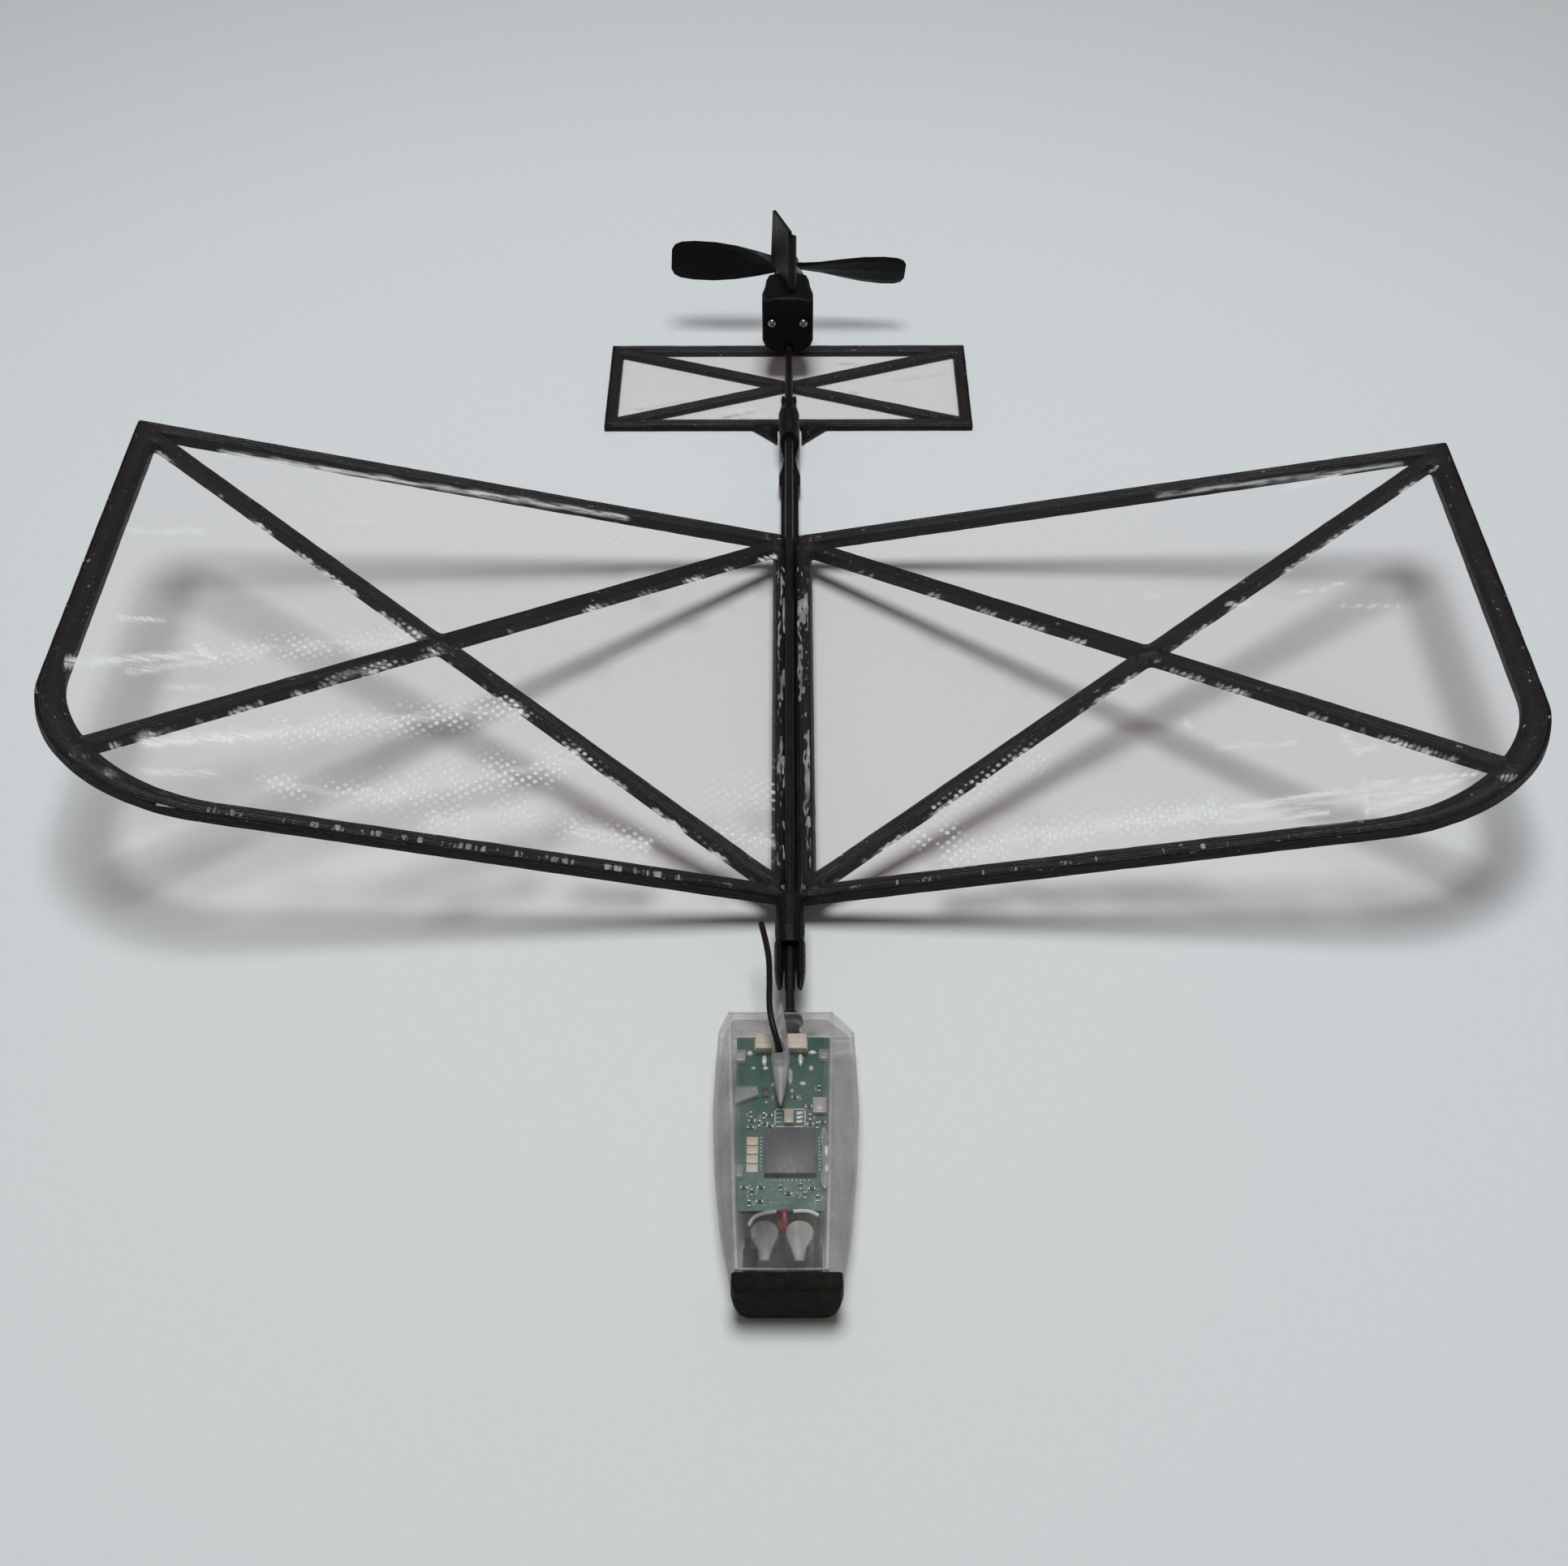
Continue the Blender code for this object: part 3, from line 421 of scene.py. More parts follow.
def film_finish(name):
    """Clear crinkled covering with painted highlights along its creases, and tiny embossed dots whose glints
    are painted white.
    """
    mat, tree, shader = new_finish(name, 0.22, 0.0, 0.6, (0.92, 0.91, 0.90))
    # painted light set per vertex by cover: red is the painted highlight along creases, green the painted
    # glint of the embossed dots
    paint = tree.nodes.new("ShaderNodeAttribute")
    paint.attribute_name = "highlight_paint"
    parts = tree.nodes.new("ShaderNodeSeparateColor")
    tree.links.new(paint.outputs["Color"], parts.inputs[0])
    painted_highlight, dot_glint = parts.outputs[0], parts.outputs[1]
    crinkle = noise_node(tree, place_node(tree, (260.0, 1500.0, 1.0), uv=True), 1.0, 5.0, 0.62)
    crisp = ramp_node(tree, crinkle, [(0.38, 0.12), (0.55, 1.0)])
    painted_highlight = math_node(tree, "MULTIPLY", painted_highlight, crisp)
    # embossed dots: the bump is their real relief, and the white they add to the share is a painted glint
    grid = tree.nodes.new("ShaderNodeTexVoronoi")
    grid.inputs["Scale"].default_value = 1.0
    grid.inputs["Randomness"].default_value = 0.22
    tree.links.new(place_node(tree, (860.0, 860.0, 1.0), (0.0, 0.0, 0.78), uv=True), grid.inputs["Vector"])
    spot = ramp_node(tree, grid.outputs["Distance"], [(0.20, 1.0), (0.38, 0.0)])
    sparkle = noise_node(tree, place_node(tree, (240.0, 240.0, 1.0), uv=True), 1.0, 4.0)
    sparkle = ramp_node(tree, sparkle, [(0.43, 0.0), (0.50, 1.0)])
    spot = math_node(tree, "MULTIPLY", math_node(tree, "MULTIPLY", spot, dot_glint), sparkle)
    # painted sheen: the film turns whiter towards grazing view, standing in for its reflection
    edge = tree.nodes.new("ShaderNodeLayerWeight")
    edge.inputs["Blend"].default_value = 0.12
    grazing_sheen = math_node(tree, "MULTIPLY", edge.outputs["Facing"], 0.03)
    share = math_node(tree, "ADD", math_node(tree, "ADD", painted_highlight, spot), math_node(tree, "ADD", grazing_sheen, 0.004))
    share = math_node(tree, "MINIMUM", share, 0.92)
    bump_node(tree, shader, math_node(tree, "ADD", crinkle, spot), 0.0002, 0.6)
    see_through(tree, shader, share, (0.985, 0.972, 0.969))
    return mat


def shell_finish(name, top_share=0.05, side_share=0.30, tint=(0.94, 0.935, 0.93),
                 colour=(0.60, 0.56, 0.54), shine=0.5):
    """Clear moulding: clearer where it faces up, hazier on its sides, with fine scuffs."""
    mat, tree, shader = new_finish(name, 0.22, 0.0, shine, colour)
    facing = tree.nodes.new("ShaderNodeNewGeometry")
    split = tree.nodes.new("ShaderNodeSeparateXYZ")
    tree.links.new(facing.outputs["Normal"], split.inputs[0])
    upward = math_node(tree, "ABSOLUTE", split.outputs["Z"])
    base = ramp_node(tree, upward, [(0.80, side_share), (0.985, top_share)])
    place = place_node(tree)
    scuff = noise_node(tree, place_node(tree, (500.0, 140.0, 500.0)), 1.0, 5.0, 0.6)
    cloud = noise_node(tree, place, 120.0, 3.0)
    scuff = ramp_node(tree, scuff, [(0.35, 0.75), (0.72, 1.45)])
    cloud = ramp_node(tree, cloud, [(0.3, 0.45), (0.7, 1.6)])
    share = math_node(tree, "MULTIPLY", math_node(tree, "MULTIPLY", base, scuff), cloud, clamp=True)
    tree.links.new(ramp_node(tree, noise_node(tree, place, 900.0), [(0.3, 0.12), (0.7, 0.3)]),
                   shader.inputs["Roughness"])
    see_through(tree, shader, share, tint)
    return mat


PRINT = printed_finish("wing_print", True)
PRINT_PLAIN = printed_finish("body_print", False)
FILM = film_finish("wing_film")
SHELL = shell_finish("pod_clear")
SHELL_DENSE = shell_finish("clear_thick", 0.40, 0.46, colour=(0.56, 0.54, 0.53), shine=0.15)
# finish for painted highlights: the shell's bends and the glare on its right side
SHELL_HIGHLIGHT = shell_finish("shell_highlight", 0.26, 0.30, colour=(0.74, 0.72, 0.71))
TAB = shell_finish("clear_tab", 0.34, 0.40, colour=(0.62, 0.62, 0.61))
POST = shell_finish("post_clear", 0.55, 0.45, colour=(0.60, 0.575, 0.55))
# near-white see-through finish: the bright chip pins, whose whiteness is partly a painted glint, and painted
# highlights on the shell's lips and right side
PALE_AND_HIGHLIGHT = shell_finish("pale_and_highlight", 0.8, 0.8, colour=(0.95, 0.95, 0.95))
RUBBER = moulded_finish("bumper_rubber", (0.0050, 0.0052, 0.0034), (0.012, 0.0122, 0.0080),
                        (0.6, 0.85), 1500.0, 0.00008, 0.10)
GLOSS = moulded_finish("motor_black", (0.0035, 0.0033, 0.0032), (0.0065, 0.0060, 0.0058),
                       (0.45, 0.6), 1800.0, 0.00002, 0.10)
BLADE = moulded_finish("blade_black", (0.004, 0.0038, 0.0038), (0.009, 0.008, 0.0075),
                       (0.32, 0.5), 1600.0, 0.00003, 0.16)
FIN = moulded_finish("fin_brown_black", (0.007, 0.0055, 0.005), (0.016, 0.012, 0.010),
                     (0.35, 0.55), 1400.0, 0.00004, 0.18)
CARBON = moulded_finish("rod_carbon", (0.0035, 0.0028, 0.0025), (0.011, 0.008, 0.0065),
                        (0.3, 0.5), 1200.0, 0.00003, 0.25)
STEEL = metal_finish("bright_steel", (0.42, 0.41, 0.39), (0.72, 0.71, 0.69))
DULL_STEEL = metal_finish("dull_steel", (0.20, 0.195, 0.19), (0.42, 0.41, 0.40))
SOLDER = moulded_finish("solder", (0.50, 0.50, 0.48), (0.88, 0.88, 0.86), (0.12, 0.3), 1500.0, 0.00004, 1.0)
GOLD_PAD = moulded_finish("pale_pad", (0.62, 0.52, 0.36), (0.78, 0.70, 0.54), (0.3, 0.5), 1500.0)
CREAM = moulded_finish("cream_nylon", (0.66, 0.55, 0.44), (0.82, 0.72, 0.60), (0.35, 0.55), 1200.0)
TAN = moulded_finish("tan_ceramic", (0.42, 0.33, 0.26), (0.56, 0.46, 0.38), (0.35, 0.5), 1500.0)
CAN = moulded_finish("pale_can", (0.40, 0.36, 0.32), (0.52, 0.48, 0.44), (0.3, 0.45), 1200.0)
CHIP = moulded_finish("chip_epoxy", (0.050, 0.053, 0.062), (0.085, 0.090, 0.102), (0.35, 0.5), 2500.0)
DARK_BIT = moulded_finish("dark_part", (0.010, 0.010, 0.012), (0.022, 0.020, 0.022), (0.4, 0.6), 1500.0)
SILK = moulded_finish("white_print", (0.42, 0.46, 0.43), (0.62, 0.65, 0.62), (0.5, 0.7), 2500.0)
COPPER = metal_finish("copper", (0.55, 0.22, 0.10), (0.80, 0.42, 0.22))
RED = moulded_finish("red_insulation", (0.30, 0.035, 0.03), (0.45, 0.07, 0.06), (0.35, 0.5), 1500.0)
AERIAL = moulded_finish("aerial_insulation", (0.0045, 0.0030, 0.0028), (0.013, 0.0070, 0.0062),
                        (0.35, 0.55), 1500.0, 0.00002, 0.2)
FOIL = moulded_finish("cell_wrap", (0.20, 0.15, 0.09), (0.34, 0.27, 0.17), (0.3, 0.5), 400.0)
GLUE = moulded_finish("dried_glue", (0.06, 0.056, 0.052), (0.44, 0.42, 0.40), (0.3, 0.6), 1800.0, 0.0001)


def board_finish():
    """Green solder mask with darker tracks, grain and tiny vias."""
    mat, tree, shader = new_finish("board_green", 0.35, 0.0, 0.5)
    place = place_node(tree)
    tracks = tree.nodes.new("ShaderNodeTexBrick")
    tracks.offset = 0.37
    tracks.inputs["Scale"].default_value = 1.0
    tracks.inputs["Mortar Size"].default_value = 0.09
    tracks.inputs["Mortar Smooth"].default_value = 0.3
    tracks.inputs["Color1"].default_value = (0.003, 0.064, 0.043, 1.0)
    tracks.inputs["Color2"].default_value = (0.007, 0.084, 0.058, 1.0)
    tracks.inputs["Mortar"].default_value = (0.012, 0.125, 0.086, 1.0)
    tree.links.new(place_node(tree, (620.0, 900.0, 620.0), (0.0, 0.0, 0.2)), tracks.inputs["Vector"])
    blotch = noise_node(tree, place, 260.0, 4.0)
    shade = ramp_node(tree, blotch, [(0.35, (0.004, 0.046, 0.031)), (0.65, (0.009, 0.086, 0.060))])
    base = mix_colour(tree, 0.5, tracks.outputs["Color"], shade)
    tree.links.new(base, shader.inputs["Base Color"])
    bump_node(tree, shader, noise_node(tree, place, 2500.0), 0.00002)
    return mat


BOARD = board_finish()


# ------------------------------------------------------------------ printed frames
LEFT_TILT = math.radians(13.22)
RIGHT_TILT = math.radians(10.47)
LEFT_ROOT, RIGHT_ROOT = 0.2, 1.0
ROOT_HEIGHT = 5.6
WING_LENGTH = 106.0
WING_FRONT = -21.5
BAR = 2.1
PLATE_TOP = -0.10


def left_place(s, y, h):
    """From s along the wing, y back and h above its top to the drawing's X, Y and Z."""
    return Vector((LEFT_ROOT - s * math.cos(LEFT_TILT) + h * math.sin(LEFT_TILT), y,
                   ROOT_HEIGHT + s * math.sin(LEFT_TILT) + h * math.cos(LEFT_TILT)))


def right_place(s, y, h):
    return Vector((RIGHT_ROOT + s * math.cos(RIGHT_TILT) - h * math.sin(RIGHT_TILT), y,
                   ROOT_HEIGHT + s * math.sin(RIGHT_TILT) + h * math.cos(RIGHT_TILT)))


def wing_outline(root, tip, front, rear, centre, radii, steps=28):
    """Straight edges joined by a quarter ellipse at the front of the tip."""
    points = [(root, front)]
    for i in range(steps + 1):
        angle = math.pi / 2 * i / steps
        points.append((centre[0] + radii[0] * math.sin(angle), centre[1] - radii[1] * math.cos(angle)))
    return points + [(tip, rear), (root, rear)]


def clipped(polygon, point, normal):
    """The part of an outline on the side of a line that the normal points to."""
    kept = []
    for i, here in enumerate(polygon):
        there = polygon[(i + 1) % len(polygon)]
        a = (here[0] - point[0]) * normal[0] + (here[1] - point[1]) * normal[1]
        b = (there[0] - point[0]) * normal[0] + (there[1] - point[1]) * normal[1]
        if a >= 0.0:
            kept.append(here)
        if (a > 0.0 > b) or (a < 0.0 < b):
            t = a / (a - b)
            kept.append((here[0] + t * (there[0] - here[0]), here[1] + t * (there[1] - here[1])))
    return kept


def bays(inside, braces, width):
    """The four bays that two crossing braces leave in an outline."""
    shapes = []
    for side_a in (-1.0, 1.0):
        for side_b in (-1.0, 1.0):
            shape = inside
            for (start, end), side in zip(braces, (side_a, side_b)):
                run = (Vector(end) - Vector(start)).normalized()
                normal = (-run.y * side, run.x * side)
                edge = (start[0] + normal[0] * width / 2, start[1] + normal[1] * width / 2)
                shape = clipped(shape, edge, normal)
            shapes.append(shape)
    return shapes


def eased(points, cut, step):
    """Rounds the sharp corners of a loop and spaces points along its sides."""
    loop = [Vector(p) for p in points]
    smooth = []
    for i, here in enumerate(loop):
        before, after = loop[i - 1], loop[(i + 1) % len(loop)]
        into, out = here - before, after - here
        if into.length < 1e-4 or out.length < 1e-4:
            continue
        bend = into.angle(out)
        reach = min(cut, into.length * 0.4, out.length * 0.4)
        if bend < 0.25:
            smooth.append(here)
            continue
        first, last = here - into.normalized() * reach, here + out.normalized() * reach
        for k in range(5):
            t = k / 4
            smooth.append(first * (1 - t) ** 2 + here * 2 * t * (1 - t) + last * t * t)
    spaced = []
    for i, here in enumerate(smooth):
        there = smooth[(i + 1) % len(smooth)]
        count = max(1, round((there - here).length / step))
        spaced += [here.lerp(there, k / count) for k in range(count)]
    return spaced


def outward_ways(rim):
    """Each rim corner's level direction away from the plate."""
    outward = {}
    for edge in rim:
        loop = edge.link_loops[0]
        a, b = loop.vert.co, loop.link_loop_next.vert.co
        flat = Vector((b.y - a.y, a.x - b.x, 0.0)).normalized()
        for vert in edge.verts:
            outward[vert] = outward.get(vert, Vector()) + flat
    return {vert: flat.normalized() for vert, flat in outward.items()}


def layered_walls(bm, wall, thick, layer):
    """Walls that step out and in with the printed layers, closed by the underside."""
    ring = outward_ways(wall)
    count = max(2, round((thick + PLATE_TOP) / layer))
    drop = (thick + PLATE_TOP) / (count * 2)
    for step in range(count * 2):
        grown = bmesh.ops.extrude_edge_only(bm, edges=wall)["geom"]
        wall = [item for item in grown if isinstance(item, bmesh.types.BMEdge) and
                not any(vert in ring for vert in item.verts)]
        fresh = [item for item in grown if isinstance(item, bmesh.types.BMVert)]
        shift = 0.05 if step % 2 == 0 else -0.05
        below = {}
        for vert in fresh:
            above = next(e.other_vert(vert) for e in vert.link_edges if e.other_vert(vert) in ring)
            below[vert] = ring[above]
            vert.co += ring[above] * shift
            vert.co.z = PLATE_TOP - drop * (step + 1)
        ring = below
    bmesh.ops.triangle_fill(bm, use_beauty=True, edges=wall)


# width and height of each step across a bar's top, from its edge inwards
STRANDS = ((0.11, 0.10), (0.24, 0.0), (0.08, -0.07), (0.08, 0.07), (0.22, 0.0), (0.08, -0.07), (0.07, 0.05))


def print_plate(name, loops, thick, place, axes, body, nodes, layer=0.27):
    """Plate with bays whose top shows concentric strands and whose walls show layers."""
    bm = bmesh.new()
    for loop in loops:
        verts = [bm.verts.new((p.x, p.y, PLATE_TOP)) for p in loop]
        for i, vert in enumerate(verts):
            bm.edges.new((verts[i - 1], vert))
    bmesh.ops.triangle_fill(bm, use_beauty=True, edges=bm.edges[:])
    for face in bm.faces:
        if face.normal.z < 0.0:
            face.normal_flip()
    top = bm.faces[:]
    rim = [edge for edge in bm.edges if len(edge.link_faces) == 1]
    layered_walls(bm, rim, thick, layer)
    for thickness, depth in STRANDS:
        bmesh.ops.inset_region(bm, faces=top, thickness=thickness, depth=depth, use_boundary=True,
                               use_even_offset=False)
    for vert in bm.verts:
        wander = noise.noise_vector(vert.co * 0.35 + Vector((0.0, 0.0, vert.co.z * 3.0)))
        ripple = noise.noise_vector(vert.co * 1.9)
        vert.co += wander * 0.05 + ripple * 0.025
    lay_strand_uv(bm, axes)
    for vert in bm.verts:
        vert.co = place(*vert.co)
    return add_piece(name, bm, PRINT, body, nodes, 50.0)


def lay_strand_uv(bm, axes):
    """UV follows the nearest bar: U along it, V across it, so the strands run lengthwise."""
    layer = bm.loops.layers.uv.new("strands")
    for face in bm.faces:
        centre = face.calc_center_median().xy
        best = None
        for index, (start, end) in enumerate(axes):
            run = Vector(end) - Vector(start)
            t = max(0.0, min(1.0, (centre - Vector(start)).dot(run) / run.length_squared))
            away = (centre - Vector(start) - run * t).length
            if best is None or away < best[0]:
                best = (away, index)
        start, end = axes[best[1]]
        run = (Vector(end) - Vector(start)).normalized()
        for loop in face.loops:
            offset = loop.vert.co.xy - Vector(start)
            across = run.x * offset.y - run.y * offset.x
            loop[layer].uv = ((offset.dot(run) + best[1] * 150.0) * MM, (across + loop.vert.co.z * 0.8) * MM)


# lines from (along the wing, back) to (along the wing, back) that the bars follow
BRACES = (((2.0, -19.0), (103.0, 53.0)), ((2.0, 53.5), (97.5, -12.3)))
WING_AXES = (
    ((0.0, -20.4), (82.0, -20.4)), ((82.0, -20.0), (94.0, -15.2)), ((94.0, -15.2), (102.0, -7.5)),
    ((102.0, -7.5), (104.5, 0.0)), ((104.4, 0.0), (104.4, 56.0)), ((0.0, 54.9), (106.0, 54.9)),
    ((1.2, -20.0), (1.2, 55.0)), *BRACES,
)
TIP_CENTRE = (80.4, -1.7)


def make_wing(side, place):
    outer = wing_outline(0.0, WING_LENGTH, WING_FRONT, WING_REAR, TIP_CENTRE, (25.6, 19.8))
    inner = wing_outline(2.4, WING_LENGTH - 3.4, WING_FRONT + BAR, WING_REAR - BAR,
                         (78.5, 1.0), (24.1, 20.4))
    loops = [eased(outer, 0.5, 1.3)]
    loops += [eased(shape, 0.9, 1.3) for shape in bays(inner, BRACES, BAR)]
    print_plate(f"{side}_wing_print", loops, BAR, place, WING_AXES, "airframe", [f"{side}_wing_frame"])


# ------------------------------------------------------------------ coverings
def wing_span_at(s):
    """Where the film starts and ends, front to rear, at a place along the wing."""
    rear = WING_REAR - 0.35
    if s < TIP_CENTRE[0]:
        return WING_FRONT + 0.4, rear
    t = min(1.0, (s - TIP_CENTRE[0]) / 25.2)
    return TIP_CENTRE[1] - 19.4 * math.sqrt(1.0 - t * t), rear


def from_line(p, a, b):
    """Distance from a stretch of line, and how far along it the nearest point is."""
    run = b - a
    t = max(0.0, min(1.0, (p - a).dot(run) / max(run.length_squared, 1e-9)))
    return (p - a - run * t).length, t


# creases and their painted highlights: start along, start back, end along, end back, half width, painted
# highlight strength, painted dot glint strength
LEFT_HIGHLIGHT_CREASES = (
    (101.0, 30.2, 91.4, 32.7, 0.7, 0.81, 0.00), (98.3, 11.7, 92.7, 13.1, 0.6, 0.78, 0.00),
    (104.1, 1.1, 84.6, 7.8, 0.9, 0.78, 0.11), (87.1, 8.9, 84.3, 6.7, 0.7, 1.00, 0.00),
    (84.8, 7.5, 55.2, 18.6, 1.6, 0.26, 0.63), (94.7, 1.9, 85.2, 6.0, 0.7, 0.59, 0.00),
    (89.7, -0.3, 83.2, 1.0, 0.4, 0.59, 0.00), (89.3, -10.7, 71.9, -4.9, 1.1, 0.91, 0.11),
    (79.5, -5.9, 78.7, -8.9, 0.25, 0.98, 0.00), (72.0, -4.7, 41.2, 6.7, 1.5, 0.36, 0.92),
    (92.8, -16.7, 79.7, -14.4, 0.7, 0.55, 0.00), (72.1, -14.6, 56.1, -14.4, 1.2, 0.26, 0.69),
    (60.2, -13.1, 56.4, -14.7, 0.3, 0.98, 0.00), (56.3, -13.0, 32.0, -2.3, 1.9, 0.29, 0.98),
    (50.5, -17.2, 37.2, -12.9, 1.6, 0.39, 0.69), (31.0, -15.2, 20.9, -15.8, 1.4, 0.52, 0.69),
    (10.8, -11.3, 2.5, -12.3, 1.2, 0.39, 0.80), (10.0, -4.0, 3.0, -2.0, 2.6, 0.00, 0.57),
    (28.9, 46.2, 17.9, 47.9, 1.2, 0.00, 0.63), (72.8, 40.3, 65.6, 41.6, 0.5, 0.33, 0.00),
    (67.4, 7.6, 61.1, 11.1, 1.2, 0.21, 0.46), (92.0, 51.5, 28.0, 53.2, 0.55, 0.68, 0.00),
)
RIGHT_HIGHLIGHT_CREASES = (
    (22.5, -17.5, 35.4, -14.7, 1.5, 0.56, 1.00), (35.3, -15.4, 57.7, -14.6, 1.6, 0.78, 0.92),
    (57.6, -14.9, 79.5, -13.6, 0.5, 1.00, 0.1), (79.5, -13.4, 94.0, -13.9, 0.5, 1.00, 0.0),
    (57.6, -16.0, 79.5, -15.4, 1.5, 0.30, 0.0), (79.5, -15.2, 92.5, -15.0, 1.3, 0.40, 0.0),
    (58.7, -16.9, 73.0, -17.5, 0.45, 0.83, 0.00), (78.7, -17.6, 92.0, -15.8, 0.7, 0.98, 0.00),
    (58.4, -12.3, 57.8, -16.7, 0.25, 0.88, 0.00), (78.9, -12.4, 78.2, -18.7, 0.3, 1.00, 0.00),
    (66.0, 25.8, 69.8, 24.7, 0.3, 0.81, 0.00), (75.4, 26.5, 80.0, 25.9, 0.25, 0.56, 0.00),
    (80.0, 25.9, 83.9, 26.9, 0.25, 0.69, 0.00), (83.0, 22.0, 91.0, 20.4, 0.25, 0.50, 0.00),
    (60.8, -3.2, 71.2, -4.0, 0.4, 0.47, 0.00), (57.0, 2.7, 57.5, 1.6, 0.4, 0.78, 0.00),
    (78.4, -7.1, 81.7, -6.8, 0.4, 0.75, 0.00), (77.8, -3.8, 79.3, -7.4, 0.6, 0.44, 0.00),
    (79.6, 50.1, 88.0, 51.3, 0.7, 0.69, 0.00), (70.2, -19.4, 75.8, -19.4, 0.4, 0.83, 0.00),
    (18.0, -13.3, 21.4, -13.4, 1.2, 0.00, 0.69), (55.1, 30.1, 56.5, 29.5, 0.4, 0.38, 0.23),
    (20.0, -8.0, 34.0, -1.0, 1.6, 0.00, 0.46), (98.0, 52.0, 60.0, 53.0, 0.45, 0.38, 0.00),
)


def crease_marks(p, lines, sag, seed):
    """Painted highlight, painted dot glints and real lift that the creases give the film at a place."""
    painted_highlight = dot_glint = lift = 0.0
    for a, b, half, strong, dotted in lines:
        away = from_line(p, a, b)[0]
        if away > half * 3.0:
            continue
        drift = 0.7 + 0.6 * noise.noise(Vector((p.x * 0.35, p.y * 1.1, half + seed)))
        fade = math.exp(-(away / (half * drift)) ** 2)
        painted_highlight = max(painted_highlight, strong * fade)
        dot_glint = max(dot_glint, dotted * math.exp(-(away / (half * 1.5)) ** 2))
        lift += 0.16 * strong * fade * math.cos(away / half * 2.4) * min(1.0, sag * 4.0)
    return painted_highlight, dot_glint, lift


def brace_glint(p, braces, seed):
    """Painted glint: a broken bright line where the film turns up beside a crossing bar."""
    glint = 0.0
    for start, end in braces:
        a, run = Vector(start), Vector(end) - Vector(start)
        below = (run.y * (p - a).x - run.x * (p - a).y) / run.length
        if 2.2 < below < 2.75:
            patch = noise.noise(Vector((p.x * 0.21, p.y * 0.17, 11.0 + seed)))
            fleck = noise.noise(Vector((p.x * 1.3, p.y * 1.1, 19.0 + seed)))
            glint = max(glint, min(0.75, 1.8 * patch + 0.5 * fleck))
    return glint


def cover(name, highlight_paint, place, span_at, ends, cells, node, axes, lift=0.07, seed=0.0,
          braces=()):
    """Stretched film: grid drawn over the frame, sagging a little in each bay, with its creases and their
    painted highlights.
    """
    bm = bmesh.new()
    bmesh.ops.create_grid(bm, x_segments=cells[0], y_segments=cells[1], size=1.0)
    paint = bm.verts.layers.float_color.new("highlight_paint")
    uv = bm.loops.layers.uv.new("panel")
    lines = [(Vector(row[0:2]), Vector(row[2:4]), *row[4:]) for row in highlight_paint]
    ribs = [(Vector(a), Vector(b)) for a, b in axes]
    spots = {}
    for vert in bm.verts:
        s = ends[0] + (ends[1] - ends[0]) * (vert.co.x + 1.0) / 2.0
        front, rear = span_at(s)
        p = Vector((s, front + (rear - front) * (vert.co.y + 1.0) / 2.0))
        open_by = min(from_line(p, a, b)[0] for a, b in ribs)
        sag = max(0.0, min(1.0, (open_by - 1.3) / 9.0))
        painted_highlight, dot_glint, raise_by = crease_marks(p, lines, sag, seed)
        painted_highlight = max(painted_highlight, brace_glint(p, braces, seed))
        crimp = noise.noise(Vector((p.x * 0.06, p.y * 0.45, 3.0 + seed)))
        h = lift - 0.22 * sag * sag * (3.0 - 2.0 * sag) + raise_by + 0.05 * crimp * min(1.0, sag * 3.0)
        clear_of_bar = max(0.0, min(1.0, (open_by - 1.0) / 0.35))
        # painted highlights and dot glints, kept off the bars
        vert[paint] = (painted_highlight * clear_of_bar, dot_glint * clear_of_bar, 0.0, 1.0)
        spots[vert] = p * MM
        vert.co = place(p.x, p.y, h)
    for face in bm.faces:
        for loop in face.loops:
            loop[uv].uv = spots[loop.vert]
    piece = add_piece(name, bm, FILM, "airframe", [node], 180.0, tidy=False)
    thicken = piece.modifiers.new("film", "SOLIDIFY")
    thicken.thickness = 0.03 * MM
    thicken.offset = 0.0


TAIL_LEFT, TAIL_RIGHT, TAIL_FRONT, TAIL_REAR = -33.9, 33.7, 92.4, 117.9
TAIL_EDGE = 2.15
TAIL_INSIDE = [
    (TAIL_LEFT + TAIL_EDGE, TAIL_FRONT + TAIL_EDGE), (TAIL_RIGHT - TAIL_EDGE, TAIL_FRONT + TAIL_EDGE),
    (TAIL_RIGHT - TAIL_EDGE, TAIL_REAR - TAIL_EDGE), (TAIL_LEFT + TAIL_EDGE, TAIL_REAR - TAIL_EDGE),
]
TAIL_BRACES = (((-30.75, 94.55), (30.55, 115.75)), ((-30.75, 115.75), (30.55, 94.55)))
TAIL_AXES = (
    ((-33.9, 93.5), (33.7, 93.5)), ((-33.9, 116.8), (33.7, 116.8)), ((-32.8, 92.4), (-32.8, 117.9)),
    ((32.6, 92.4), (32.6, 117.9)), ((-6.0, 92.0), (-2.6, 89.0)), ((6.2, 92.0), (2.8, 89.0)), *TAIL_BRACES,
)
# creases on the stabilizer's film and their painted highlights, with the same columns as above
TAIL_HIGHLIGHT_CREASES = (
    (-12.0, 96.4, -6.0, 98.2, 0.5, 0.42, 0.00), (-9.0, 95.8, -4.0, 95.6, 0.4, 0.54, 0.00),
    (10.0, 113.2, 17.0, 112.4, 0.5, 0.24, 0.00), (12.0, 104.2, 13.0, 104.0, 0.4, 0.48, 0.00),
    (-28.0, 99.0, -20.0, 101.0, 0.8, 0.14, 0.00), (20.0, 108.0, 29.0, 110.0, 0.8, 0.12, 0.00),
)


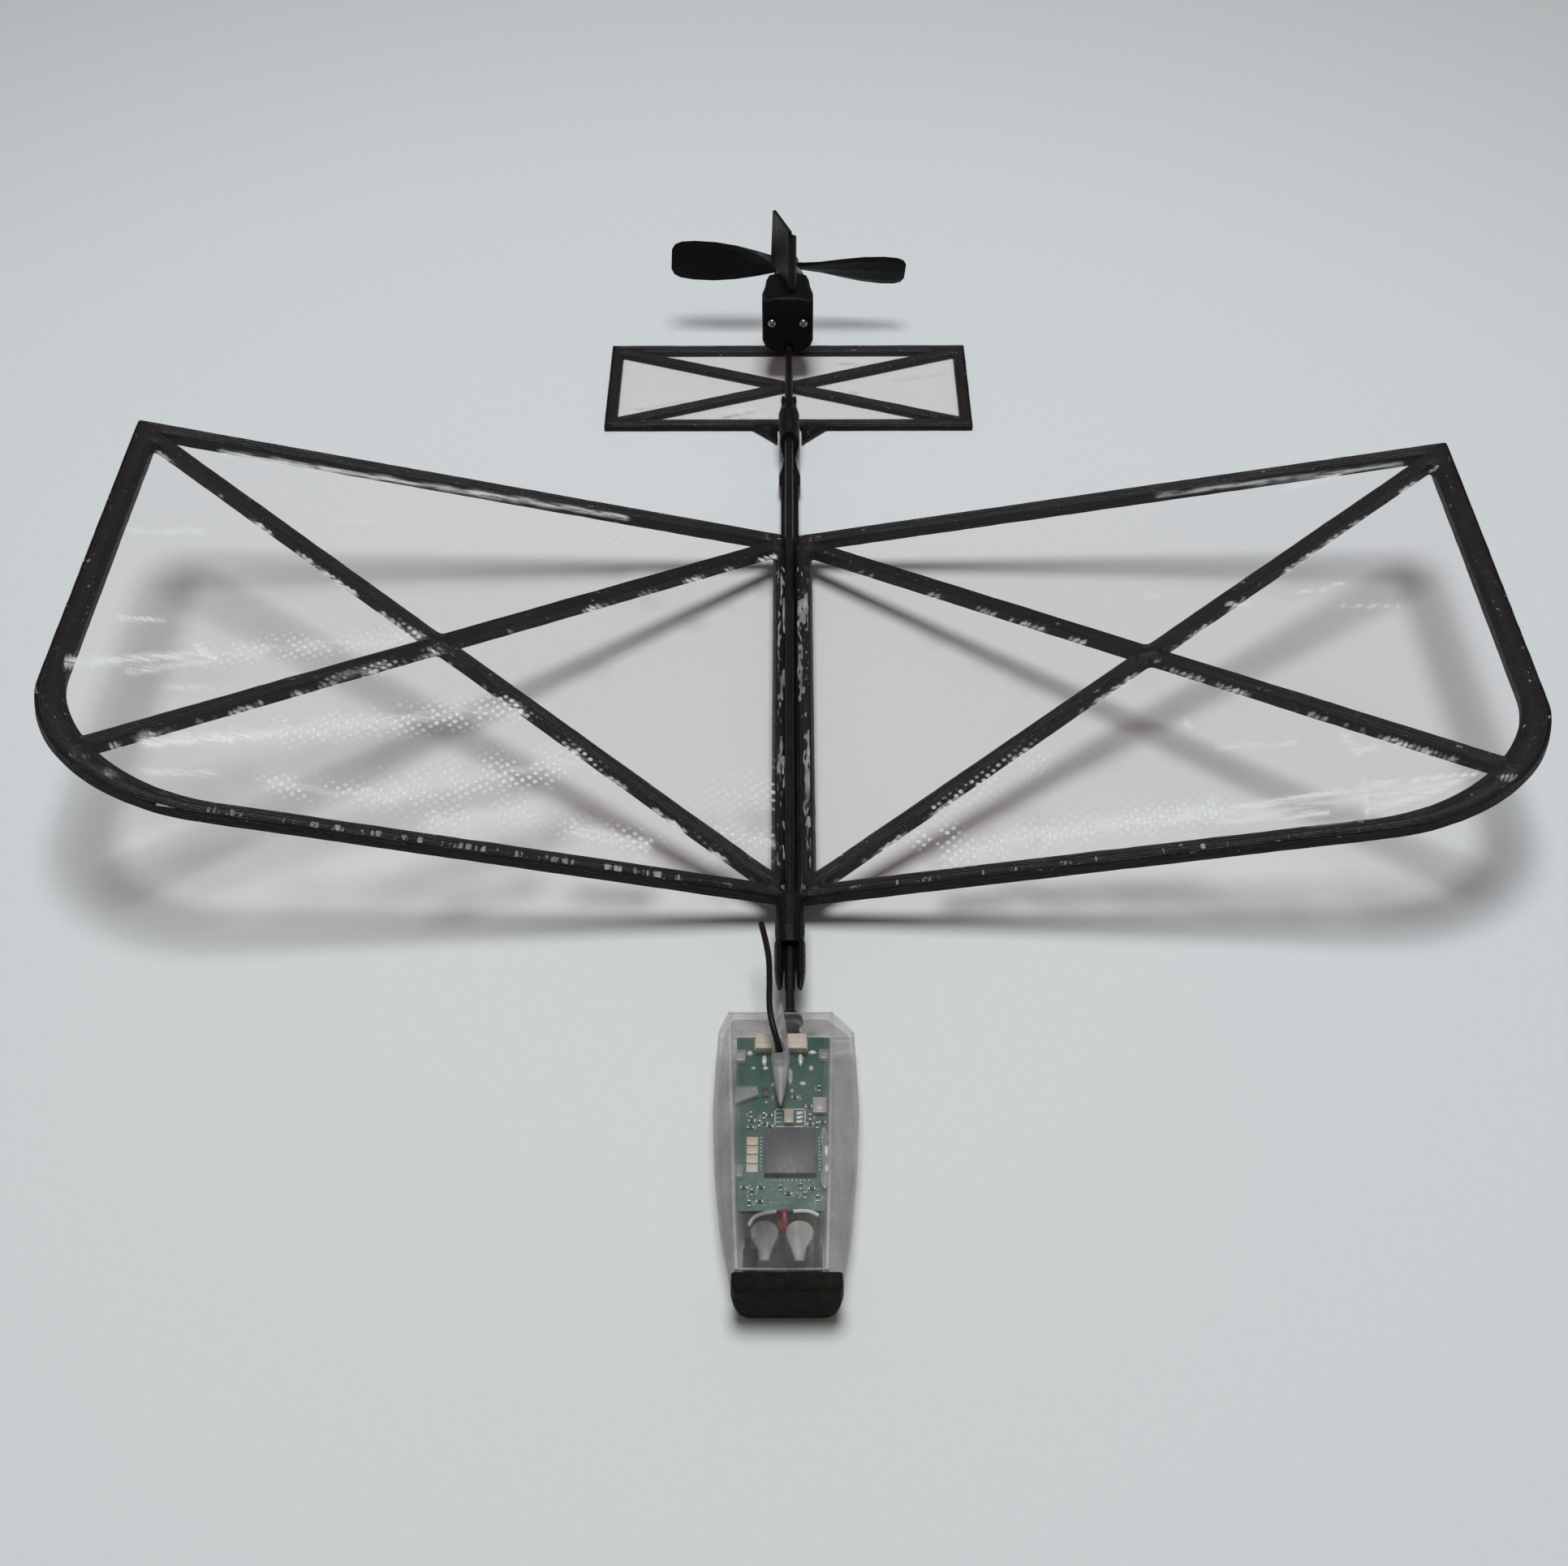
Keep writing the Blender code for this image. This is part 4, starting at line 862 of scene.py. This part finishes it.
def make_tail():
    outer = [(TAIL_LEFT, TAIL_FRONT), (-6.7, TAIL_FRONT), (-2.15, 88.2), (-2.15, TAIL_FRONT),
             (2.35, TAIL_FRONT), (2.35, 88.0), (6.85, TAIL_FRONT), (TAIL_RIGHT, TAIL_FRONT),
             (TAIL_RIGHT, TAIL_REAR), (TAIL_LEFT, TAIL_REAR)]
    loops = [eased(outer, 0.25, 1.2)]
    loops += [eased(shape, 0.5, 1.2) for shape in bays(TAIL_INSIDE, TAIL_BRACES, 2.0)]
    print_plate("stabilizer_print", loops, 0.9, lambda x, y, h: Vector((x, y, h + 0.93)), TAIL_AXES,
                "airframe", ["stabilizer_frame"], 0.28)
    cover("stabilizer_cover", TAIL_HIGHLIGHT_CREASES, lambda x, y, h: Vector((x, y, h + 0.98)),
          lambda x: (TAIL_FRONT + 0.5, TAIL_REAR - 0.4), (TAIL_LEFT + 0.4, TAIL_RIGHT - 0.4), (90, 40),
          "stabilizer_film", TAIL_AXES, 0.03)


def make_wings():
    make_wing("left", left_place)
    make_wing("right", right_place)
    cover("left_wing_cover", LEFT_HIGHLIGHT_CREASES, left_place, wing_span_at, (1.65, WING_LENGTH - 0.4), (210, 130),
          "left_wing_film", WING_AXES, seed=1.0, braces=BRACES)
    cover("right_wing_cover", RIGHT_HIGHLIGHT_CREASES, right_place, wing_span_at, (0.6, WING_LENGTH - 0.4), (210, 130),
          "right_wing_film", WING_AXES, seed=7.0, braces=BRACES)


# ------------------------------------------------------------------ pod
MODULE = "power_module"
BOARD_TOP = 7.0
CHIP_MIDDLE = -63.0
PIN_PITCH, PIN_COUNT = 0.5, 10
PAD_PITCH = 1.27
# place across, place back, width, depth
SOLDER_BLOBS = (
    (-3.3, -49.4, 0.55, 1.3), (1.35, -49.3, 0.55, 1.5), (-3.15, -50.6, 0.6, 0.5),
    (-4.7, -50.6, 0.5, 0.4), (0.0, -51.8, 0.6, 1.9), (2.7, -50.6, 0.5, 0.7),
    (1.6, -52.9, 0.8, 0.6), (-2.15, -53.1, 0.5, 0.5), (-5.2, -48.3, 0.7, 0.6),
    (2.9, -48.2, 0.9, 0.5), (0.25, -54.0, 0.4, 0.6), (-3.0, -55.7, 0.4, 0.35),
)


def make_laminate():
    outline = [(-6.9, -45.8), (5.2, -45.8), (5.0, -62.0), (4.5, -70.8), (-6.45, -70.8), (-6.9, -62.0)]
    bm = bmesh.new()
    raised(bm, eased(outline, 0.35, 2.0), 6.2, BOARD_TOP)
    round_rim(bm, 6.9, 0.06, 2)
    add_piece("board_laminate", bm, BOARD, MODULE, ["circuit_board"])


def make_chips():
    bm = bmesh.new()
    chip_block(bm, (-3.2, CHIP_MIDDLE - 3.2, 7.22), (3.2, CHIP_MIDDLE + 3.2, 7.95), 0.07)
    chip_block(bm, (-2.85, -60.55, 7.945), (-2.45, -60.15, 7.965), 0.0)
    add_piece("controller_chip", bm, CHIP, MODULE, ["main_chip"])

    bm = bmesh.new()
    for i in range(PIN_COUNT):
        along = (i - (PIN_COUNT - 1) / 2) * PIN_PITCH
        sides = ((-3.62, CHIP_MIDDLE + along), (3.62, CHIP_MIDDLE + along))
        for x, y in ((along, -66.72), (along, -59.42), *sides):
            dome(bm, (x, y, BOARD_TOP + 0.02), (0.13, 0.13, 0.14), 10, 6)
    add_piece("chip_pins", bm, PALE_AND_HIGHLIGHT, MODULE)

    bm = bmesh.new()
    chip_block(bm, (2.85, -57.5, 7.2), (4.6, -55.2, 7.75), 0.14)
    chip_block(bm, (3.15, -57.2, 7.7), (4.3, -55.5, 7.83), 0.1)
    add_piece("crystal", bm, CAN, MODULE, ["crystal_can"])

    bm = bmesh.new()
    chip_block(bm, (-0.75, -59.0, 7.2), (0.45, -57.0, 7.8), 0.08)
    add_piece("radio_filter", bm, TAN, MODULE, ["rf_chip"])


def make_solder_and_pads():
    bm = bmesh.new()
    for i in range(3):
        chip_block(bm, (0.78, -57.35 - i * 0.62, BOARD_TOP), (1.6, -56.93 - i * 0.62, 7.12), 0.03, 6.0)
    for x, y, width, depth in SOLDER_BLOBS:
        dome(bm, (x, y, BOARD_TOP + 0.05), (width * 0.62, depth * 0.66, 0.34), 14, 9)
    for vert in bm.verts:
        vert.co += noise.noise_vector(vert.co * 2.3) * 0.05
    add_piece("solder_joints", bm, SOLDER, MODULE)

    bm = bmesh.new()
    for i in range(4):
        chip_block(bm, (-5.42, -61.78 - i * PAD_PITCH, BOARD_TOP), (-3.98, -60.62 - i * PAD_PITCH, 7.1), 0.05)
    add_piece("test_pads", bm, GOLD_PAD, MODULE)


# middles of the smallest parts on the board
SMALL_PARTS = (
    (-4.9, -57.4), (-4.9, -58.3), (-4.9, -59.2), (-3.9, -58.6), (-3.3, -57.7), (-3.3, -58.8),
    (-2.6, -57.5), (-2.6, -59.0), (-1.7, -55.0), (2.4, -56.3), (2.5, -57.8), (2.6, -58.9),
    (3.3, -58.9), (4.1, -58.6), (3.7, -53.6), (4.4, -60.6), (4.5, -62.2), (4.3, -66.6),
    (-5.6, -67.6), (-4.7, -68.4), (-3.6, -67.8), (-1.2, -67.7), (-0.3, -68.6), (1.2, -67.6),
    (1.7, -68.8), (2.6, -67.9), (3.3, -69.2), (-5.1, -69.8), (-3.7, -69.6), (0.6, -54.9),
)


def make_small_parts():
    """Tiny dark blocks with bright ends, lying along or across the board."""
    dark, ends = bmesh.new(), bmesh.new()
    for x, y in SMALL_PARTS:
        x += random.uniform(-0.1, 0.1)
        y += random.uniform(-0.12, 0.12)
        lengthwise = random.choice((0.0, 0.0, 90.0)) == 0.0
        half = (0.17, 0.32) if lengthwise else (0.32, 0.17)
        chip_block(dark, (x - half[0], y - half[1], BOARD_TOP), (x + half[0], y + half[1], 7.24), 0.04)
        half = (0.19, 0.1) if lengthwise else (0.1, 0.19)
        for end in (-0.34, 0.34):
            u, v = (x, y + end) if lengthwise else (x + end, y)
            chip_block(ends, (u - half[0], v - half[1], BOARD_TOP), (u + half[0], v + half[1], 7.25), 0.04)
    chip_block(dark, (-3.55, -54.9, BOARD_TOP), (-2.75, -53.6, 7.5), 0.08)
    add_piece("small_components", dark, DARK_BIT, MODULE)
    add_piece("component_ends", ends, SOLDER, MODULE)


def stroke(bm, x0, y0, x1, y1, width=0.045):
    """A flat printed dash on the board."""
    start, end = Vector((x0, y0)), Vector((x1, y1))
    run = (end - start).normalized() * width
    side = Vector((-run.y, run.x))
    corners = [start - run - side, end + run - side, end + run + side, start - run + side]
    bm.faces.new([bm.verts.new((p.x, p.y, BOARD_TOP + 0.02)) for p in corners])


def make_board_marks():
    """The radio part's box and pale scribble beside the small parts, none of it readable."""
    marks = bmesh.new()
    box = ((-1.9, -56.6), (1.87, -56.6), (1.87, -59.1), (-1.9, -59.1))
    for i, corner in enumerate(box):
        stroke(marks, *box[i - 1], *corner, 0.09)
    for i in range(3):
        stroke(marks, -1.75, -57.2 - i * 0.62, -1.1, -57.2 - i * 0.62, 0.08)
    for x, y in SMALL_PARTS:
        height = random.uniform(0.45, 0.6)
        left = x + random.choice((-0.55, 0.5))
        stroke(marks, left, y - height / 2, left, y + height / 2)
        stroke(marks, left, y + height / 2, left + 0.22, y + height / 2)
        stroke(marks, left, y, left + 0.2, y)
        if random.random() < 0.6:
            stroke(marks, left + 0.22, y, left + 0.22, y - height / 2)
    for i in range(26):
        x, y = random.uniform(-6.2, 4.6), random.uniform(-70.2, -67.0)
        stroke(marks, x, y, x + random.uniform(-0.2, 0.2), y + random.uniform(-0.3, 0.3))
    add_piece("board_marks", marks, SILK, MODULE, tidy=False)


def make_connectors():
    for name, node, left, right in (("motor_plug", "motor_connector", -4.45, -2.1),
                                    ("rudder_plug", "rudder_connector", -0.35, 2.15)):
        middle = (left + right) / 2
        bm = bmesh.new()
        chip_block(bm, (left, -48.3, 7.15), (right, -46.0, 8.35), 0.13, 0.0, 3)
        chip_block(bm, (left + 0.35, -47.4, 8.3), (middle - 0.12, -46.4, 8.42), 0.05)
        chip_block(bm, (middle + 0.12, -47.4, 8.3), (right - 0.35, -46.4, 8.42), 0.05)
        chip_block(bm, (left - 0.12, -48.05, 7.1), (left + 0.05, -46.3, 7.6), 0.05)
        chip_block(bm, (right - 0.05, -48.05, 7.1), (right + 0.12, -46.3, 7.6), 0.05)
        add_piece(name, bm, CREAM, MODULE, [node])
        bm = bmesh.new()
        for side in (left - 0.02, right - 0.38):
            chip_block(bm, (side, -48.62, BOARD_TOP), (side + 0.4, -48.3, 7.35), 0.05)
        chip_block(bm, (middle - 0.2, -48.75, BOARD_TOP), (middle + 0.15, -48.28, 7.3), 0.05)
        add_piece(name + "_feet", bm, DARK_BIT, MODULE)


def make_board():
    make_laminate()
    make_chips()
    make_solder_and_pads()
    random.seed(41)
    make_small_parts()
    make_board_marks()
    make_connectors()


def keep_look(node, mat):
    """Gives a CAD part a finish on its own object, its shape unchanged."""
    for holder in bpy.data.objects[node].material_slots:
        holder.link = "OBJECT"
        holder.material = mat


# place back, roof height, roof's left and right ridge, shell's left and right side
POD_STATIONS = (
    (-43.5, 9.5, -8.0, 5.6, -9.5, 8.5), (-55.0, 9.2, -7.6, 5.3, -9.9, 8.85),
    (-64.0, 8.95, -7.2, 5.0, -9.45, 8.3), (-72.0, 8.7, -6.9, 4.75, -8.6, 7.5),
    (-77.0, 8.5, -6.6, 4.55, -7.6, 6.7), (-79.2, 8.4, -6.5, 4.45, -7.2, 6.4),
)


def make_bend_highlights():
    """Painted highlights: pale lines where the clear shell turns, along its two ridges, its sides and its
    ends.
    """
    bm = bmesh.new()
    for column, inset in ((2, 0.16), (3, -0.16)):
        thin_line(bm, [(row[column] + inset, row[0], row[1] - 0.05) for row in POD_STATIONS], 0.24)
    for column, inset in ((4, 0.2), (5, -0.2)):
        thin_line(bm, [(row[column] + inset, row[0], 4.25) for row in POD_STATIONS], 0.12)
    back, front = POD_STATIONS[0], POD_STATIONS[-1]
    thin_line(bm, [(back[2] + 0.1, -43.65, back[1] - 0.1), (-3.0, -43.65, back[1] - 0.08),
                   (1.5, -43.65, back[1] - 0.08), (back[3] - 0.1, -43.65, back[1] - 0.1)], 0.1)
    thin_line(bm, [(front[2] + 0.1, -79.1, front[1] - 0.04), (-3.0, -79.15, front[1] - 0.02),
                   (1.5, -79.15, front[1] - 0.02), (front[3] - 0.1, -79.1, front[1] - 0.04)], 0.14)
    add_piece("shell_bend_highlights", bm, SHELL_HIGHLIGHT, MODULE)


def make_tabs():
    """Small clear lugs and the flap that hold the board inside the shell."""
    bm = bmesh.new()
    chip_block(bm, (-7.1, -49.9, 7.1), (-5.7, -48.2, 7.9), 0.12)
    chip_block(bm, (3.7, -49.6, 7.1), (5.0, -48.1, 7.9), 0.12)
    chip_block(bm, (-6.9, -66.6, 7.1), (-5.75, -64.9, 7.8), 0.12)
    raised(bm, [(-7.05, -53.7), (-4.2, -53.75), (-3.95, -54.9), (-5.6, -55.6), (-7.0, -56.2)], 7.5, 7.85)
    add_piece("shell_tabs", bm, TAB, MODULE)


def make_nose_posts(steps=20):
    """Two clear posts behind the bumper, round at the back and waisted towards the nose."""
    for side, x, lean in (("left", -3.1, 0.1), ("right", 1.1, -0.1)):
        outline = []
        for i in range(steps + 1):
            angle = math.pi * i / steps
            outline.append((x + 1.72 * math.cos(angle), -73.75 + 1.55 * math.sin(angle)))
        outline += [(x - 1.55, -74.6), (x - 0.95 + lean, -75.9), (x - 0.6, -77.6),
                    (x + 0.6, -77.6), (x + 0.95 + lean, -75.9), (x + 1.55, -74.6)]
        bm = bmesh.new()
        raised(bm, outline, 1.1, 7.35)
        round_rim(bm, 7.2, 0.22, 3)
        add_piece(f"nose_post_{side}", bm, POST, MODULE, [f"bumper_post_{side}"])


def make_shell_light():
    """Painted highlights: bright lines along the moulded lips over the posts, and soft glare and glints on
    the right side of the shell.
    """
    bm = bmesh.new()
    thin_line(bm, [(-5.0, -72.9, 7.3), (-4.4, -71.9, 7.35), (-3.2, -71.35, 7.4), (-1.7, -71.1, 7.4)], 0.23, 8)
    thin_line(bm, [(0.35, -71.1, 7.4), (1.6, -71.05, 7.4), (2.6, -71.2, 7.35), (3.4, -71.6, 7.3)], 0.23, 8)
    add_piece("lip_highlights", bm, PALE_AND_HIGHLIGHT, MODULE)
    glare_patches = ((4.2, -66.8, 0.5, 1.5), (4.2, -61.4, 0.42, 1.6), (4.3, -64.3, 0.5, 1.9))
    glints = ((4.45, -63.1, 0.26, 0.75), (4.5, -65.5, 0.24, 0.6))
    for name, finish, spots in (("shell_glare", SHELL_HIGHLIGHT, glare_patches), ("shell_glints", PALE_AND_HIGHLIGHT, glints)):
        bm = bmesh.new()
        for x, y, width, depth in spots:
            dome(bm, (x, y, 8.0), (width, depth, 0.06), 18, 8)
        add_piece(name, bm, finish, MODULE)


BUMPER_LEFT, BUMPER_RIGHT, BUMPER_TOP = -7.2, 6.4, 8.35
# place back, how far the block has grown sideways, how far its underside has risen
BUMPER_ROWS = ((-79.5, 0.0, 0.0), (-79.62, 0.0, 0.0), (-80.1, 0.0, 0.05), (-80.7, -0.02, 0.15),
               (-81.2, -0.14, 0.35), (-81.55, -0.32, 0.62), (-81.7, -0.6, 0.95))


def bumper_section(y, grow, low):
    left, right, top = BUMPER_LEFT - grow, BUMPER_RIGHT + grow, BUMPER_TOP + grow * 0.5
    loop = [(left + 1.7, low), (right - 1.7, low), (right - 0.85, low + 0.75), (right - 0.3, 3.2),
            (right - 0.1, 4.9), (right - 0.25, top - 0.35), (right - 0.55, top), (left + 0.55, top),
            (left + 0.25, top - 0.35), (left + 0.1, 4.9), (left + 0.3, 3.2), (left + 0.85, low + 0.75)]
    return [Vector((p.x, y, p.y)) for p in eased(loop, 0.5, 0.7)]


def make_bumper():
    bm = bmesh.new()
    skin(bm, [bumper_section(*row) for row in BUMPER_ROWS])
    for low, high in (((-5.7, -79.9, 2.0), (-4.1, -75.6, 6.8)), ((2.9, -79.9, 2.0), (3.8, -75.0, 6.8))):
        chip_block(bm, low, high, 0.2)
    add_piece("nose_rubber", bm, RUBBER, MODULE, ["bumper"], 30.0)


RED_ROUTE = ((-1.3, -69.6, 4.6), (-1.2, -71.6, 4.9), (-0.6, -73.0, 6.3), (-0.65, -72.6, 7.3),
             (-0.7, -71.7, 7.7), (-0.75, -71.0, 7.4))
DARK_ROUTE = ((0.6, -69.6, 4.6), (0.5, -71.4, 4.9), (0.1, -72.2, 6.3), (0.2, -71.9, 6.9), (0.3, -71.2, 6.9))


def make_battery():
    bm = bmesh.new()
    chip_block(bm, (-5.7, -69.0, 1.2), (4.6, -47.5, 5.8), 0.9, 0.0, 5)
    chip_block(bm, (-5.2, -70.0, 3.2), (4.1, -68.8, 5.4), 0.3)
    add_piece("cell_pouch", bm, FOIL, MODULE, ["battery"])
    for name, route, radius, finish, slot, node in (
            ("cell_lead_red", RED_ROUTE, 0.3, RED, "red_wire", "battery_lead_red"),
            ("cell_lead_dark", DARK_ROUTE, 0.27, AERIAL, "dark_wire", "battery_lead_black")):
        bm = bmesh.new()
        tube(bm, smooth_path(route, 8), radius, 12)
        add_piece(name, bm, finish, MODULE, [node])


def make_pod():
    keep_look("pod_upper_shell", SHELL)
    keep_look("pod_lower_shell", SHELL)
    keep_look("pod_spine", SHELL_DENSE)
    make_bend_highlights()
    make_tabs()
    make_nose_posts()
    make_shell_light()
    # a thin dark sheet low in the nose: painted shade seen between the posts
    bm = bmesh.new()
    chip_block(bm, (-5.6, -79.2, 1.0), (3.6, -71.2, 1.12))
    add_piece("nose_shade_sheet", bm, DARK_BIT, MODULE)
    make_bumper()
    make_battery()


# ------------------------------------------------------------------ aerial
AERIAL_ROUTE = (
    (-1.25, -56.3, 7.75), (-1.25, -54.3, 7.75), (-1.25, -52.6, 8.2), (-1.25, -51.3, 9.3),
    (-1.3, -50.3, 10.8), (-1.95, -48.4, 12.1), (-2.45, -46.3, 12.6), (-2.65, -44.0, 12.6),
    (-2.65, -41.0, 12.4), (-2.75, -37.0, 11.8), (-3.15, -33.4, 10.8), (-3.85, -29.2, 9.7),
)
AERIAL_RADIUS = 0.41


def make_aerial():
    route = smooth_path(AERIAL_ROUTE, 8)
    bm = bmesh.new()
    tube(bm, route, AERIAL_RADIUS, 16)
    wire = add_piece("aerial_wire", bm, AERIAL, MODULE, ["antenna_wire"], 50.0)

    tip = (route[-1] - route[-2]).normalized()
    bm = bmesh.new()
    tube(bm, [route[-1] - tip * 0.1, route[-1] + tip * 0.12, route[-1] + tip * 0.2],
         lambda t: 0.2 - 0.07 * t, 12)
    core = add_piece("aerial_core", bm, COPPER, MODULE)

    bm = bmesh.new()
    profile = [(-0.45, 0.0), (-0.45, 0.62), (-0.3, 0.78), (-0.05, 0.72), (0.1, 0.5), (0.1, 0.0)]
    turned(bm, profile, 0.0, 0.0, 20)
    bm.transform(Matrix.Translation((-1.26, -51.0, 9.9)) @ Matrix.Rotation(math.radians(52.0), 4, "X"))
    add_piece("aerial_grommet", bm, SHELL_DENSE, MODULE)


# ------------------------------------------------------------------ motor unit
SCREW_HEIGHT = 12.34
MOTOR_LINE = (0.0, 13.3)
# place back and radius, from the front face rearwards
SCREW_PROFILE = ((107.78, 0.0), (107.78, 0.42), (107.84, 0.6), (107.98, 0.74), (108.2, 0.8),
                 (108.4, 0.8), (108.4, 0.0))
CAN_PROFILE = ((111.9, 0.0), (111.9, 2.6), (112.1, 2.95), (112.5, 3.0), (118.4, 3.0), (118.5, 2.93),
               (118.7, 2.93), (118.8, 3.0), (121.2, 3.0), (121.6, 2.9), (121.85, 2.6), (121.9, 2.0),
               (121.9, 0.0))


def make_screw(side, x):
    bm = bmesh.new()
    turned(bm, SCREW_PROFILE, x, SCREW_HEIGHT, 28)
    add_piece(f"screw_{side}", bm, DULL_STEEL, MODULE, [f"housing_rivet_{side}"], 60.0)
    bm = bmesh.new()
    for turn in (35.0, 125.0):
        place = Matrix.Translation((x, 107.79, SCREW_HEIGHT)) @ Matrix.Rotation(math.radians(turn), 4, "Y")
        made = bmesh.ops.create_cube(bm, size=1.0, matrix=place @ Matrix.Diagonal((0.95, 0.1, 0.2, 1.0)))
        edges = {edge for vert in made["verts"] for edge in vert.link_edges}
        bmesh.ops.bevel(bm, geom=list(edges), offset=0.03, segments=2, profile=0.5, affect="EDGES",
                        material=-1)
    add_piece(f"screw_slot_{side}", bm, DARK_BIT, MODULE)


def make_motor():
    make_screw("left", -3.1)
    make_screw("right", 2.7)
    bm = bmesh.new()
    turned(bm, CAN_PROFILE, *MOTOR_LINE, 48)
    add_piece("motor_case", bm, STEEL, MODULE, ["motor_can"])
    for node, finish in (("motor_housing", GLOSS), ("rudder_pin", GLOSS), ("rudder", FIN),
                         ("propeller", BLADE), ("motor_shaft", STEEL), ("motor_end_cap", CREAM),
                         ("rudder_coil", COPPER)):
        keep_look(node, finish)


# ------------------------------------------------------------------ airframe's body and glue
def crust(name, place, span, rows, cells, reach, rise, seed):
    """Crumbly dried glue: a noisy skin that breaks through the surface in patches."""
    bm = bmesh.new()
    bmesh.ops.create_grid(bm, x_segments=cells[0], y_segments=cells[1], size=1.0)
    for vert in bm.verts:
        s = span[0] + (span[1] - span[0]) * (vert.co.x + 1.0) / 2.0
        y = rows[0] + (rows[1] - rows[0]) * (vert.co.y + 1.0) / 2.0
        edge = 1.0 - max(abs(vert.co.x), abs(vert.co.y)) ** 6
        broad = noise.noise(Vector((s * 0.9, y * 0.12, seed)))
        fine = noise.noise(Vector((s * 2.4, y * 0.6, seed + 5.0)))
        h = -0.02 + rise * (broad * 0.8 + fine * 0.9 + reach) * edge - 0.12 * (1.0 - edge)
        vert.co = place(s, y, max(h, -0.3))
    piece = add_piece(name, bm, GLUE, "airframe", (), 180.0, tidy=False)
    thicken = piece.modifiers.new("body", "SOLIDIFY")
    thicken.thickness = 0.05 * MM


def make_glue():
    crust("root_glue_left", left_place, (0.3, 2.2), (-21.0, 55.0), (16, 420), -0.36, 0.28, 2.0)
    crust("root_glue_right", right_place, (0.1, 2.3), (-21.0, 55.0), (16, 420), -0.22, 0.30, 9.0)
    crust("front_glue_left", left_place, (5.0, 86.0), (-21.35, -20.2), (520, 8), -0.46, 0.35, 15.0)
    crust("front_glue_right", right_place, (5.0, 80.0), (-21.35, -20.2), (520, 8), -0.55, 0.35, 21.0)


# place back, half width, half height
LOBE_ROWS = ((-30.4, 0.70, 1.75), (-32.5, 0.70, 1.65), (-34.6, 0.68, 1.5), (-36.0, 0.52, 1.2),
             (-36.9, 0.38, 0.85), (-37.5, 0.16, 0.4))


def make_clip_lobes(sides=20):
    """Rounded cheeks on the front clip's two prongs."""
    ring = [2.0 * math.pi * k / sides for k in range(sides)]
    for name, x in (("left", -1.44), ("right", 1.44)):
        bm = bmesh.new()
        skin(bm, [[Vector((x + half * math.cos(a), y, 6.2 + high * math.sin(a))) for a in ring]
                  for y, half, high in LOBE_ROWS])
        add_piece(f"clip_lobe_{name}", bm, PRINT_PLAIN, "airframe")


def make_body():
    make_glue()
    make_clip_lobes()
    for node, finish in (("fuselage_bar", PRINT_PLAIN), ("front_rod_clip", PRINT_PLAIN),
                         ("rear_rod_clip", PRINT_PLAIN), ("carbon_rod", CARBON), ("lead_bundle", AERIAL),
                         ("rod_socket", PRINT_PLAIN), ("tail_joint_strip", SHELL_DENSE)):
        keep_look(node, finish)


make_camera()
make_stage()
make_aerial()
make_wings()
make_tail()
make_board()
make_pod()
make_motor()
make_body()
